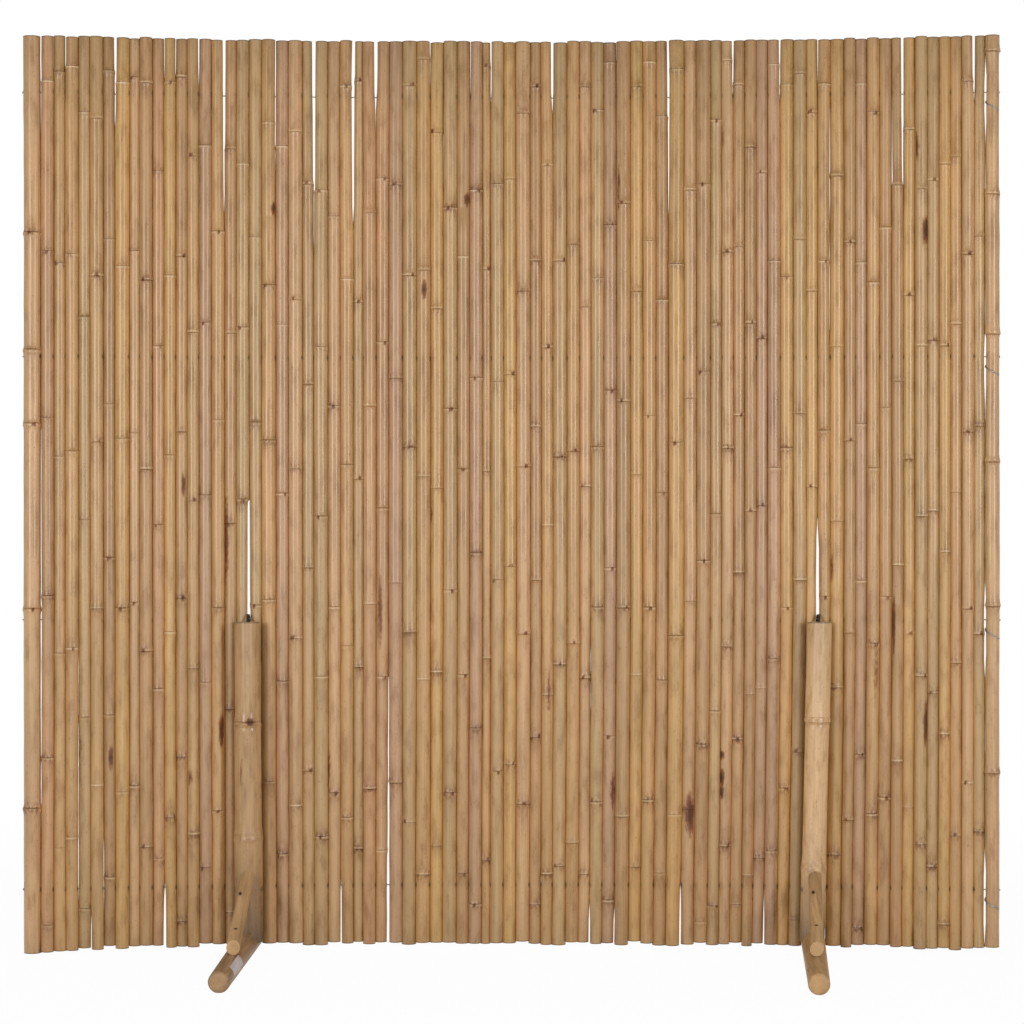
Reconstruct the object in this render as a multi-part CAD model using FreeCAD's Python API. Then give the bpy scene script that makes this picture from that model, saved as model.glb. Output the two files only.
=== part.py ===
import FreeCAD, Part
import math
import os
import random

# Bamboo fence panel: a wall of upright canes threaded on four rows of wire, bowed a little in plan,
# standing on two legs. Each leg is a post, a round foot that runs front to back, and a nailed brace.
# Millimetres, +Z up, floor at Z 0, the front faces -Y, X 0 is the middle of the wall.

V = FreeCAD.Vector
UP = V(0, 0, 1)

# The wall
WALL_WIDTH = 1582.0
BOW_RADIUS = 5000.0
BOTTOM_HEIGHT = 10.0
BOTTOM_UNEVEN = 3.5
LOW_CORNER_DROP = 7.0
LOW_CORNER_CANES = 6
TOP_HEIGHT = 1484.0
TOP_UNEVEN = 1.2
CANES_IN_A_NODE = 2

# Canes, left to right, by thickness grade, ten to a line
CANE_GRADES = (
    "fccccccdbc"
    "cbcbdcccdd"
    "ddcddcbcdd"
    "eddddcacdd"
    "cbecccdddc"
    "deddcbcbcc"
    "dcccebccdb"
    "cccbcbce"
)
GRADE_DIAMETERS = {"a": 14.6, "b": 16.6, "c": 18.7, "d": 20.6, "e": 22.8, "f": 25.2}
TAPER_SPREAD = 0.9
FIRST_THICKNESS = 0.9
OVERGROWTH = 0.8
WRAPPED_UNEVEN = 0.9
GROWTH_PASSES = 12
CANE_WALL = 2.8
CANE_CLEARANCE = 0.1
CANE_STAGGER = (1.5, 2.5)
HOLE_BEYOND = 2.0

# Nodes of a cane: the ring outside and the septum inside. Those of the two outer canes show in the
# outline, so their heights are given.
INTERNODE = 300.0
INTERNODE_SPREAD = 38.0
INTERNODE_SHORTEST = 0.93
INTERNODE_LONGEST = 1.05
RING_BULGE = 0.25
RING_HEIGHT = 3.6
SEPTUM = 5.0
NODE_FROM_END = 26.0
NODE_FROM_WIRE = 18.0
NODE_FROM_NEXT_NODE = 9.0
OUTER_NODES = {1: (237, 559, 858, 977, 1166), 78: (294, 563, 796, 1002, 1228, 1458)}

# Places where two canes stand apart: cane on the left of the gap, width at its widest,
# height where it starts, where it is widest and where it ends
OPEN_TOP = TOP_HEIGHT + 1.0
OPEN_FOOT = 0.0
OPENINGS = (
    (1, 5.5, 1290, OPEN_TOP, OPEN_TOP),
    (2, 3.5, 1385, OPEN_TOP, OPEN_TOP),
    (3, 4.5, 1370, OPEN_TOP, OPEN_TOP),
    (4, 2.5, 1395, OPEN_TOP, OPEN_TOP),
    (7, 5.5, 1330, OPEN_TOP, OPEN_TOP),
    (11, 3.0, 1390, OPEN_TOP, OPEN_TOP),
    (12, 3.0, 1385, OPEN_TOP, OPEN_TOP),
    (14, 2.5, 1400, OPEN_TOP, OPEN_TOP),
    (15, 2.5, 1330, 1400, 1450),
    (16, 6.0, 1180, OPEN_TOP, OPEN_TOP),
    (20, 3.5, 1215, OPEN_TOP, OPEN_TOP),
    (23, 8.0, 1130, OPEN_TOP, OPEN_TOP),
    (26, 8.0, 1190, OPEN_TOP, OPEN_TOP),
    (28, 8.0, 1370, OPEN_TOP, OPEN_TOP),
    (32, 2.5, 1400, OPEN_TOP, OPEN_TOP),
    (33, 2.2, 1215, 1380, 1445),
    (35, 4.0, 1370, OPEN_TOP, OPEN_TOP),
    (37, 3.5, 1390, OPEN_TOP, OPEN_TOP),
    (42, 6.5, 1360, OPEN_TOP, OPEN_TOP),
    (47, 3.5, 1360, OPEN_TOP, OPEN_TOP),
    (48, 4.0, 1380, OPEN_TOP, OPEN_TOP),
    (51, 6.0, 1190, OPEN_TOP, OPEN_TOP),
    (56, 4.5, 1370, OPEN_TOP, OPEN_TOP),
    (60, 4.0, 1380, OPEN_TOP, OPEN_TOP),
    (63, 3.0, 1390, OPEN_TOP, OPEN_TOP),
    (64, 3.0, 980, 1200, 1410),
    (69, 2.5, 1190, 1290, 1395),
    (70, 7.0, 1190, OPEN_TOP, OPEN_TOP),
    (71, 3.5, 1390, OPEN_TOP, OPEN_TOP),
    (75, 2.5, 1210, 1340, 1410),
    (76, 4.0, 1370, OPEN_TOP, OPEN_TOP),
    (1, 4.2, 70, 480, 1170),
    (4, 3.6, 80, 160, 505),
    (5, 3.2, OPEN_FOOT, OPEN_FOOT, 85),
    (6, 3.8, 85, 115, 200),
    (10, 2.5, 370, 420, 470),
    (11, 6.5, OPEN_FOOT, OPEN_FOOT, 115),
    (25, 4.0, OPEN_FOOT, OPEN_FOOT, 135),
    (29, 5.5, OPEN_FOOT, OPEN_FOOT, 510),
    (40, 3.2, 370, 440, 510),
    (41, 3.6, 55, 140, 250),
    (45, 3.0, 380, 440, 490),
    (45, 4.0, OPEN_FOOT, OPEN_FOOT, 85),
    (47, 2.6, OPEN_FOOT, OPEN_FOOT, 75),
    (52, 4.5, OPEN_FOOT, OPEN_FOOT, 115),
    (59, 4.5, OPEN_FOOT, OPEN_FOOT, 90),
)

# Wire rows
WIRE_ROWS = (105.0, 541.0, 966.0, 1393.0)
WIRE_DIAMETER = 2.0
WIRE_RUNS = 20
WIRE_HOLE_CLEARANCE = 0.3
WRAP_CLEARANCE = 0.3
WRAP_DROP = 30.0
WRAP_TAIL_ANGLE = 318.0
WRAP_RUNS = 14
WRAP_GAP_REACH = 45.0
WRAP_GAP_SLACK = 1.0
LEFT_END_BEND = 12.0

# Legs: places are along X, at the floor unless they say otherwise
LEFT_LEG_CANE = 18
RIGHT_LEG_CANE = 63
LEFT_FOOT_PLACE = -428.4
RIGHT_FOOT_PLACE = 489.8
LEFT_POST_PLACE = -425.5
RIGHT_POST_PLACE = 484.8
LEFT_TIE_PLACE = -429.6
RIGHT_TIE_PLACE = 498.0
POST_GAP = 0.3
POST_WALL = 4.5
POST_SEPTUM = 7.0
POST_RING_BULGE = 0.9
POST_RING_HEIGHT = 6.0
POST_HEIGHT = 537.0
POST_BOTTOM = 21.0
LEFT_POST_DIAMETERS = (46.0, 43.5, 40.5)
LEFT_POST_NODES = (190.0, 373.0)
RIGHT_POST_DIAMETERS = (40.5, 38.5, 40.0)
RIGHT_POST_NODES = (142.0, 376.0)
POST_CHECKS = 12
TIE_SLIT = 5.4
TIE_SLIT_FROM = 330.0
LEFT_SLIT_TOP = 745.0
RIGHT_SLIT_TOP = 690.0

# Feet
LEFT_FOOT_REACH = 323.0
RIGHT_FOOT_REACH = 340.0
FOOT_REAR_REACH = 330.0
FOOT_FRONT_RADIUS = 16.5
FOOT_REAR_RADIUS = 22.0
FOOT_END_ROUNDING = 7.0
FOOT_FLAT = 0.8
FOOT_CLEARANCE = 0.3
FOOT_TO_CANE_END = 1.0
FOOT_SIDE_GAP = 2.8
FOOT_SIDE_GAP_TOP = 150.0
FOOT_BEYOND = 20.0
LEFT_FOOT_TURN = 1.2
RIGHT_FOOT_TURN = 5.2

# Braces and their nails
BRACE_DIAMETER = 21.0
BRACE_BEYOND = 30.0
LEFT_BRACE_REACH = 190.0
RIGHT_BRACE_REACH = 206.0
LEFT_BRACE_SIDE = 5.0
RIGHT_BRACE_SIDE = 0.0
BRACE_TOP_HEIGHT = 126.0
NAIL_DIAMETER = 2.4
NAIL_HEAD_DIAMETER = 5.0
NAIL_HEAD_HEIGHT = 1.0
NAIL_CLEARANCE = 0.15
POST_NAIL_LENGTH = 74.0
POST_NAIL_REACH = 62.0
POST_NAIL_SIDE = 4.0
FOOT_NAIL_LENGTH = 42.0
FOOT_NAIL_REACH = 160.0

# Ties: two turns of black wire round the third row of wire, over the post's rim and through its back
TIE_DIAMETER = 2.2
TIE_RING_RADIUS = 13.0
TIE_TURNS_APART = 1.9
TIE_RISE = 8.0
TIE_CLEARANCE = 0.3

# Blank paper label on the left foot
LABEL_LENGTH = 98.0
LABEL_ANGLE = 56.0
LABEL_TURN = 62.0
LABEL_FROM_END = 54.0
LABEL_THICKNESS = 0.2
LABEL_LIFT = 0.05

SEED = 78
SAMPLE_STEP = 30.0
MEASURE_STEP = 0.1
random.seed(SEED)


def mix(a, b, t):
    return a + (b - a) * t


def in_plan(s, depth=0.0):
    """The point at distance s along the bowed wall, depth to the rear of its middle line."""
    turn = s / BOW_RADIUS
    reach = BOW_RADIUS + depth
    return V(reach * math.sin(turn), reach * math.cos(turn) - BOW_RADIUS, 0)


def along_wall(s):
    turn = s / BOW_RADIUS
    return V(math.cos(turn), -math.sin(turn), 0)


def rod(start, end, radius, extra_start=0.0, extra_end=0.0):
    """A round rod between two points, longer at each end by the extra lengths."""
    line = end - start
    way = line / line.Length
    length = line.Length + extra_start + extra_end
    return Part.makeCylinder(radius, length, start - way * extra_start, way)


class Cane:
    """One cane: its joints from the bottom end over its nodes to the top end."""

    def __init__(self, number, taken):
        self.number = number
        corner = max(0.0, 1.0 - (number - 1) / LOW_CORNER_CANES)
        uneven = random.uniform(-BOTTOM_UNEVEN, BOTTOM_UNEVEN) * (1.0 - corner)
        bottom = BOTTOM_HEIGHT - corner * LOW_CORNER_DROP + uneven
        top = TOP_HEIGHT + random.uniform(-TOP_UNEVEN, TOP_UNEVEN)
        placed = self.place_nodes(bottom, top, taken)
        self.nodes = list(OUTER_NODES.get(number, placed))
        self.heights = [bottom] + self.nodes + [top]
        self.places = [fitted(number, height)[0] for height in self.heights]
        side = 1 if number % 2 else -1
        self.depths = [side * random.uniform(*CANE_STAGGER) for _ in self.nodes]
        self.depths = self.depths[:1] + self.depths + self.depths[-1:]
        self.full = [fitted(number, (low + high) / 2)[1] / 2
                     for low, high in zip(self.heights, self.heights[1:])]
        self.radii = [radius * FIRST_THICKNESS for radius in self.full]

    def place_nodes(self, bottom, top, taken):
        """Heights of the nodes, clear of the ends, the wires and the left cane's nodes."""
        internode = INTERNODE + random.uniform(-INTERNODE_SPREAD, INTERNODE_SPREAD)
        height = bottom + NODE_FROM_END + random.random() * (internode - NODE_FROM_END)
        nodes = []
        while height < top - NODE_FROM_END:
            for wire in WIRE_ROWS:
                if abs(height - wire) < NODE_FROM_WIRE:
                    height = wire + NODE_FROM_WIRE
            for other in taken:
                if abs(height - other) < NODE_FROM_NEXT_NODE:
                    height = other + NODE_FROM_NEXT_NODE
            if height < top - NODE_FROM_END:
                nodes.append(height)
            height += internode * random.uniform(INTERNODE_SHORTEST, INTERNODE_LONGEST)
        return nodes

    def span(self, height):
        """The internode at a height, and how far up it the height is."""
        last = len(self.heights) - 2
        for index in range(last + 1):
            low, high = self.heights[index], self.heights[index + 1]
            if height <= high or index == last:
                return index, (height - low) / (high - low)

    def free_room(self, index, beside):
        """How far internode index is from touching the canes beside it."""
        low, high = self.heights[index], self.heights[index + 1]
        steps = math.ceil((high - low) / SAMPLE_STEP)
        samples = [mix(low, high, step / steps) for step in range(steps + 1)]
        marks = [node for cane in beside for node in cane.nodes]
        marks += [row - drop for row in WIRE_ROWS for drop in (0.0, WRAP_DROP / 2, WRAP_DROP)]
        samples += [mark for mark in marks if low < mark < high]
        room = []
        for height in samples:
            for cane in beside:
                across = cane.place_at(height) - self.place_at(height)
                apart = math.hypot(across, cane.depth_at(height) - self.depth_at(height))
                apart -= opening(min(self.number, cane.number), height, KEPT_OPENINGS)
                room.append(apart - self.radii[index] - cane.radii[cane.span(height)[0]])
        return min(room) - CANE_CLEARANCE - RING_BULGE

    def thicken(self, beside):
        """Grow each internode into half of its free room, up to a little more than its full thickness.

        The last cane, which the wires wrap, stays nearly as thin as its thinnest internode.
        """
        for index, full in enumerate(self.full):
            most = full + OVERGROWTH
            if self.number == len(CANE_GRADES):
                most = min(self.radii) + WRAPPED_UNEVEN
            self.radii[index] += min(self.free_room(index, beside) / 2, most - self.radii[index])

    def ring_radius(self, index):
        """Radius of the ring between internode index and the one above it."""
        return max(self.radii[index], self.radii[index + 1]) + RING_BULGE

    def radius_at(self, height):
        for index, node in enumerate(self.nodes):
            if abs(height - node) <= RING_HEIGHT:
                return self.ring_radius(index)
        return self.radii[self.span(height)[0]]

    def depth_at(self, height):
        index, share = self.span(height)
        return mix(self.depths[index], self.depths[index + 1], share)

    def place_at(self, height):
        index, share = self.span(height)
        return mix(self.places[index], self.places[index + 1], share)

    def point(self, index):
        spot = in_plan(self.places[index], self.depths[index])
        return V(spot.x, spot.y, self.heights[index])

    def point_at(self, height):
        spot = in_plan(self.place_at(height), self.depth_at(height))
        return V(spot.x, spot.y, height)


def opening(number, height, openings=None):
    """How far cane number and the next one stand apart at a height."""
    wide = 0.0
    for cane, width, start, peak, end in openings or ALL_OPENINGS:
        if cane == number and start <= height <= end:
            run = (height - start, peak - start) if height < peak else (end - height, end - peak)
            wide = max(wide, width * (run[0] / run[1] if run[1] else 1.0))
    return wide


def wrap_openings():
    """The last two canes stand apart where each row of wire comes back between them."""
    last = len(CANE_GRADES) - 1
    width = WIRE_DIAMETER + 2 * WRAP_CLEARANCE
    return tuple(
        (last, width + WRAP_GAP_SLACK, row - WRAP_DROP - WRAP_GAP_REACH, row - WRAP_DROP / 2,
         row + WRAP_GAP_REACH)
        for row in WIRE_ROWS
    )


FOOT_OPENINGS = tuple(
    (cane + side, FOOT_SIDE_GAP, OPEN_FOOT, OPEN_FOOT, FOOT_SIDE_GAP_TOP)
    for cane in (LEFT_LEG_CANE, RIGHT_LEG_CANE) for side in (-1, 1)
)
TIE_OPENINGS = (
    (LEFT_LEG_CANE, TIE_SLIT, TIE_SLIT_FROM, WIRE_ROWS[1], LEFT_SLIT_TOP),
    (RIGHT_LEG_CANE, TIE_SLIT, TIE_SLIT_FROM, WIRE_ROWS[1], RIGHT_SLIT_TOP),
)
KEPT_OPENINGS = TIE_OPENINGS + wrap_openings()
ALL_OPENINGS = OPENINGS + FOOT_OPENINGS + KEPT_OPENINGS


TAPERS = [random.uniform(-TAPER_SPREAD, TAPER_SPREAD) for _ in CANE_GRADES]


def full_width(number, height=TOP_HEIGHT / 2):
    """Thickness of a cane at a height, before its stretch of the wall is filled."""
    return GRADE_DIAMETERS[CANE_GRADES[number - 1]] + TAPERS[number - 1] * (0.5 - height / TOP_HEIGHT)


def along(x):
    """Distance along the bowed wall's middle line of the point at x."""
    return BOW_RADIUS * math.asin(x / BOW_RADIUS)


def held_places(height):
    """Numbers of the canes whose right side is held at a height, each with its place along the wall."""
    share = min(1.0, height / WIRE_ROWS[1])
    return (
        (0, -WALL_WIDTH / 2),
        (LEFT_LEG_CANE, mix(along(LEFT_FOOT_PLACE), along(LEFT_TIE_PLACE), share)),
        (RIGHT_LEG_CANE, mix(along(RIGHT_FOOT_PLACE), along(RIGHT_TIE_PLACE), share)),
        (len(CANE_GRADES), WALL_WIDTH / 2),
    )


def fitted(number, height):
    """Middle and thickness of a cane at a height.

    Its stretch of the wall is filled from end to end. Beside an opening a cane is thinner and keeps
    to its other neighbour.
    """
    held = held_places(height)
    ahead = [index for index, (cane, _) in enumerate(held) if cane >= number][0]
    (before, start), (last, end) = held[ahead - 1:ahead + 1]
    share = (end - start) / sum(full_width(cane, height) for cane in range(before + 1, last + 1))
    left = start + share * sum(full_width(cane, height) for cane in range(before + 1, number))
    width = full_width(number, height) * share
    on_left, on_right = opening(number - 1, height), opening(number, height)
    return left + width / 2 + (on_left - on_right) / 4, width - (on_left + on_right) / 2


def stand_canes():
    canes = []
    for number in range(1, len(CANE_GRADES) + 1):
        canes.append(Cane(number, canes[-1].nodes if canes else []))
    for _ in range(GROWTH_PASSES):
        for index, cane in enumerate(canes):
            cane.thicken(canes[max(index - 1, 0):index] + canes[index + 1:index + 2])
    return canes


CANES = stand_canes()


def cane_gap_middle(number, height):
    """The point midway between cane number and the next one."""
    left, right = CANES[number - 1], CANES[number]
    a = left.place_at(height) + left.radius_at(height)
    b = right.place_at(height) - right.radius_at(height)
    spot = in_plan((a + b) / 2)
    return V(spot.x, spot.y, height)


def clear_of_canes(number, x, radius, height):
    """The rearmost Y for the back of a post of this radius at x, in front of the canes round a gap."""
    backs = []
    for cane in CANES[number - 3:number + 3]:
        spot = cane.point_at(height)
        reach = radius + cane.radius_at(height) + RING_BULGE + POST_GAP
        beside = abs(spot.x - x)
        if beside < reach:
            backs.append(spot.y - math.sqrt(reach * reach - beside * beside) + radius)
    return min(backs)


class Leg:
    """Where one leg stands: its post line, foot line and brace line."""

    def __init__(self, name, cane, foot_place, turn, foot_reach, post_place, diameters, nodes,
                 brace_reach, brace_side):
        self.name = name
        self.cane = cane
        self.radii = [diameter / 2 for diameter in diameters]
        self.nodes = nodes
        self.brace_reach = brace_reach
        self.brace_side = brace_side
        heading = math.radians(turn)
        self.forward = V(-math.sin(heading), -math.cos(heading), 0)
        self.under_wall = in_plan(along(foot_place))
        high_x = cane_gap_middle(cane, WIRE_ROWS[1]).x
        thick = max(self.radii) + POST_RING_BULGE
        shares = [step / POST_CHECKS for step in range(POST_CHECKS + 1)]
        self.back = min(
            clear_of_canes(cane, mix(post_place, high_x, share), thick, POST_HEIGHT * share)
            for share in shares
        )
        self.post_low = V(post_place, self.back - thick, POST_BOTTOM)
        self.post_high = V(high_x, self.back - self.radii[-1] - POST_RING_BULGE, POST_HEIGHT)
        self.post_front = self.post_low.y - self.radii[0]
        self.foot_front = self.foot_at(self.post_front - foot_reach)
        self.foot_rear = self.foot_at(self.under_wall.y + FOOT_REAR_REACH)

    def foot_at(self, y):
        """The point of the foot's line on the floor at a Y."""
        reach = (y - self.under_wall.y) / self.forward.y
        return V(self.under_wall.x, self.under_wall.y, 0) + self.forward * reach

    def foot_radius(self, y):
        share = (y - self.foot_front.y) / (self.foot_rear.y - self.foot_front.y)
        return mix(FOOT_FRONT_RADIUS, FOOT_REAR_RADIUS, share)

    def foot_envelope(self, clearance, extra=FOOT_BEYOND):
        """The foot's cone grown by a clearance, and longer at both ends."""
        start = self.foot_front + V(0, 0, FOOT_FRONT_RADIUS - FOOT_FLAT)
        end = self.foot_rear + V(0, 0, FOOT_REAR_RADIUS - FOOT_FLAT)
        way = (end - start).normalize()
        slope = (FOOT_REAR_RADIUS - FOOT_FRONT_RADIUS) / (end - start).Length
        low = FOOT_FRONT_RADIUS - slope * extra + clearance
        high = FOOT_REAR_RADIUS + slope * extra + clearance
        length = (end - start).Length + 2 * extra
        return Part.makeCone(low, high, length, start - way * extra, way)

    def brace_ends(self):
        """Middle of the brace at its foot end and at the front of the post."""
        low = self.foot_at(self.post_front - self.brace_reach)
        share = (BRACE_TOP_HEIGHT - POST_BOTTOM) / (POST_HEIGHT - POST_BOTTOM)
        high = V(mix(self.post_low.x, self.post_high.x, share), self.post_front, BRACE_TOP_HEIGHT)
        radius = self.foot_radius(low.y) + FOOT_CLEARANCE
        rest = radius - FOOT_FLAT + math.sqrt(radius * radius - self.brace_side * self.brace_side)
        steepness = (high.z - rest) / self.brace_reach
        lift = BRACE_DIAMETER / 2 * math.hypot(1.0, steepness)
        return V(low.x + self.brace_side, low.y, rest + lift), high


LEFT_LEG = Leg(
    "left", LEFT_LEG_CANE, LEFT_FOOT_PLACE, LEFT_FOOT_TURN, LEFT_FOOT_REACH, LEFT_POST_PLACE,
    LEFT_POST_DIAMETERS, LEFT_POST_NODES, LEFT_BRACE_REACH, LEFT_BRACE_SIDE,
)
RIGHT_LEG = Leg(
    "right", RIGHT_LEG_CANE, RIGHT_FOOT_PLACE, RIGHT_FOOT_TURN, RIGHT_FOOT_REACH, RIGHT_POST_PLACE,
    RIGHT_POST_DIAMETERS, RIGHT_POST_NODES, RIGHT_BRACE_REACH, RIGHT_BRACE_SIDE,
)
LEGS = (LEFT_LEG, RIGHT_LEG)


def over_a_foot(cane):
    """The height at which a cane that stands over a foot is cut, or None."""
    for leg in LEGS:
        spot = cane.point_at(cane.heights[0])
        axis = leg.foot_at(spot.y)
        radius = leg.foot_radius(spot.y + cane.radii[0])
        if abs(spot.x - axis.x) < radius + cane.radii[0] + FOOT_CLEARANCE:
            return 2 * radius - FOOT_FLAT + FOOT_TO_CANE_END
    return None


def cane_solid(cane):
    """Straight internodes with a chamber in each, rings at the nodes, and a hole for each wire."""
    points = [cane.point(i) for i in range(len(cane.heights))]
    cut_height = over_a_foot(cane)
    if cut_height:
        points[0] = cane.point_at(cut_height)
    tubes = []
    last = len(points) - 2
    for index, (low, high) in enumerate(zip(points, points[1:])):
        radius = cane.radii[index]
        below = SEPTUM if index == 0 else -SEPTUM / 2
        above = SEPTUM if index == last else -SEPTUM / 2
        tools = [rod(low, high, radius - CANE_WALL, below, above)]
        for row in WIRE_ROWS:
            if low.z < row < high.z:
                place = cane.place_at(row)
                middle = in_plan(place) + V(0, 0, row)
                half = along_wall(place) * (radius + HOLE_BEYOND)
                tools.append(rod(middle - half, middle + half, WIRE_DIAMETER / 2 + WIRE_HOLE_CLEARANCE))
        tubes.append(rod(low, high, radius).cut(tools))
    rings = []
    for index in range(1, len(points) - 1):
        way = (points[index + 1] - points[index - 1]).normalize() * (RING_HEIGHT / 2)
        rings.append(rod(points[index] - way, points[index] + way, cane.ring_radius(index - 1)))
    return tubes[0].multiFuse(tubes[1:] + rings)


def wire_solid(row):
    """One row of wire: a long bow of equal runs, a bent left end, and a wrap round the last cane."""
    radius = WIRE_DIAMETER / 2
    first, last = CANES[0], CANES[-1]
    out = radius + WRAP_CLEARANCE
    left = first.place_at(row) - first.radius_at(row) - out
    right = last.place_at(row) + last.radius_at(row) + out
    start, end = in_plan(left) + V(0, 0, row), in_plan(right) + V(0, 0, row)
    bow_middle = V(0, -BOW_RADIUS, row)
    sweep = math.degrees((right - left) / BOW_RADIUS) / WIRE_RUNS
    pieces = []
    for run in range(WIRE_RUNS):
        piece = Part.makeTorus(BOW_RADIUS, radius, bow_middle, UP, 0, 360, sweep)
        piece.rotate(bow_middle, UP, 90 - math.degrees(right / BOW_RADIUS) + run * sweep)
        pieces.append(piece)
    bend_back = in_plan(left, LEFT_END_BEND) + V(0, 0, row)
    pieces += [rod(start, bend_back, radius), Part.makeSphere(radius, start, bend_back - start),
               Part.makeSphere(radius, end, along_wall(right))]
    return pieces[0].multiFuse(pieces[1:] + wrap_pieces(last, end, row))


def wrap_pieces(cane, start, row):
    """Short straight runs behind the last cane, back through the gap and down across its front."""
    radius = WIRE_DIAMETER / 2
    reach = cane.radius_at(row) + radius + WRAP_CLEARANCE
    corner = reach / math.cos(math.radians(WRAP_TAIL_ANGLE / WRAP_RUNS / 2))
    pieces = []
    previous = start
    for step in range(1, WRAP_RUNS + 1):
        share = step / WRAP_RUNS
        angle = math.radians(WRAP_TAIL_ANGLE * share)
        height = row - WRAP_DROP * share
        centre = cane.point_at(height)
        spot = V(centre.x + corner * math.cos(angle), centre.y + corner * math.sin(angle), height)
        pieces += [rod(previous, spot, radius), Part.makeSphere(radius, spot, spot - previous)]
        previous = spot
    return pieces


def post_solid(leg):
    """A hollow post: open cut top, rings and septa at its nodes, and a saddle cut over the foot."""
    way = (leg.post_high - leg.post_low).normalize()
    whole = (leg.post_high - leg.post_low).Length

    def on_axis(height):
        return leg.post_low + way * (whole * (height - POST_BOTTOM) / (POST_HEIGHT - POST_BOTTOM))

    marks = [POST_BOTTOM] + list(leg.nodes) + [POST_HEIGHT]
    tubes = []
    for index, (low, high) in enumerate(zip(marks, marks[1:])):
        radius = leg.radii[index]
        below = POST_SEPTUM if index == 0 else -POST_SEPTUM / 2
        above = POST_SEPTUM if high == POST_HEIGHT else -POST_SEPTUM / 2
        chamber = rod(on_axis(low), on_axis(high), radius - POST_WALL, below, above)
        tubes.append(rod(on_axis(low), on_axis(high), radius).cut(chamber))
    half = POST_RING_HEIGHT / 2
    rings = [rod(on_axis(node - half), on_axis(node + half),
                 max(leg.radii[index:index + 2]) + POST_RING_BULGE)
             for index, node in enumerate(leg.nodes)]
    post = tubes[0].multiFuse(tubes[1:] + rings)
    holes = [leg.foot_envelope(FOOT_CLEARANCE), tie_turns(leg, TIE_CLEARANCE)]
    holes += [nail_hole(nail) for nail in nail_lines(leg)]
    return post.cut(holes)


def foot_solid(leg):
    """A tapered round pole with rounded ends and a narrow planed flat underneath."""
    body = leg.foot_envelope(0.0, 0.0)
    ends = [edge for edge in body.Edges if isinstance(edge.Curve, Part.Circle)]
    body = body.makeFillet(FOOT_END_ROUNDING, ends)
    box = body.BoundBox
    below = Part.makeBox(box.XLength, box.YLength, FOOT_BEYOND, V(box.XMin, box.YMin, -FOOT_BEYOND))
    flat = body.cut(below)
    return flat.cut([nail_hole(nail) for nail in nail_lines(leg)])


def brace_solid(leg):
    """A slanting stick, cut square to the floor at its foot end and shaped to the foot and the post."""
    low, high = leg.brace_ends()
    stick = rod(low, high, BRACE_DIAMETER / 2, BRACE_BEYOND, BRACE_BEYOND)
    way = (leg.post_high - leg.post_low).normalize()
    post_radius = leg.radii[0] + FOOT_CLEARANCE
    post = Part.makeCylinder(post_radius, POST_HEIGHT, leg.post_low - way * POST_BOTTOM, way)
    size = leg.brace_reach
    before = Part.makeBox(size, size, size, V(low.x - size / 2, low.y - size, 0))
    before.rotate(low, UP, -math.degrees(math.atan2(leg.forward.x, -leg.forward.y)))
    behind = Part.makeBox(size, size, size, V(high.x - size / 2, leg.post_low.y, 0))
    tools = [before, post, behind, leg.foot_envelope(FOOT_CLEARANCE)]
    tools += [nail_hole(nail) for nail in nail_lines(leg)]
    return stick.cut(tools)


def nail_lines(leg):
    """Head, direction and length of each nail of a leg: one into the post, one into the foot."""
    low, high = leg.brace_ends()
    line = (high - low)
    slant = math.cos(math.atan2(line.z, math.hypot(line.x, line.y)))
    half = BRACE_DIAMETER / 2

    def on_top(reach, side):
        share = (leg.brace_reach - reach) / leg.brace_reach
        middle = low + line * share
        rise = math.sqrt(half * half - side * side) / slant
        return V(middle.x - side, middle.y, middle.z + rise)

    return (
        (on_top(POST_NAIL_REACH, POST_NAIL_SIDE), leg.forward * -1, POST_NAIL_LENGTH),
        (on_top(FOOT_NAIL_REACH, 0.0), UP * -1, FOOT_NAIL_LENGTH),
    )


def nail_solid(nail):
    head, way, length = nail
    shank = Part.makeCylinder(NAIL_DIAMETER / 2, length, head, way)
    cap = Part.makeCylinder(NAIL_HEAD_DIAMETER / 2, NAIL_HEAD_HEIGHT, head - way * NAIL_HEAD_HEIGHT, way)
    return shank.fuse(cap)


def nail_hole(nail):
    head, way, length = nail
    shank = Part.makeCylinder(NAIL_DIAMETER / 2 + NAIL_CLEARANCE, length + NAIL_CLEARANCE, head, way)
    sink = Part.makeCylinder(NAIL_HEAD_DIAMETER / 2 + NAIL_CLEARANCE, BRACE_DIAMETER,
                             head - way * BRACE_DIAMETER, way)
    return shank.fuse(sink)


def tie_turns(leg, clearance):
    """The tie's two turns side by side, grown by a clearance: round the wire, from behind it."""
    gap = cane_gap_middle(leg.cane, WIRE_ROWS[1])
    middle_height = gap.z + TIE_RISE - TIE_DIAMETER / 2 - TIE_RING_RADIUS
    inner = TIE_RING_RADIUS - TIE_DIAMETER / 2 - WIRE_DIAMETER / 2 - TIE_CLEARANCE
    forward = math.sqrt(inner * inner - (gap.z - middle_height) ** 2)
    turns = []
    for side in (-TIE_TURNS_APART / 2, TIE_TURNS_APART / 2):
        middle = V(gap.x + side, gap.y - forward, middle_height)
        turns.append(Part.makeTorus(TIE_RING_RADIUS, TIE_DIAMETER / 2 + clearance, middle, V(1, 0, 0)))
    return turns[0].fuse(turns[1])


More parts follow.
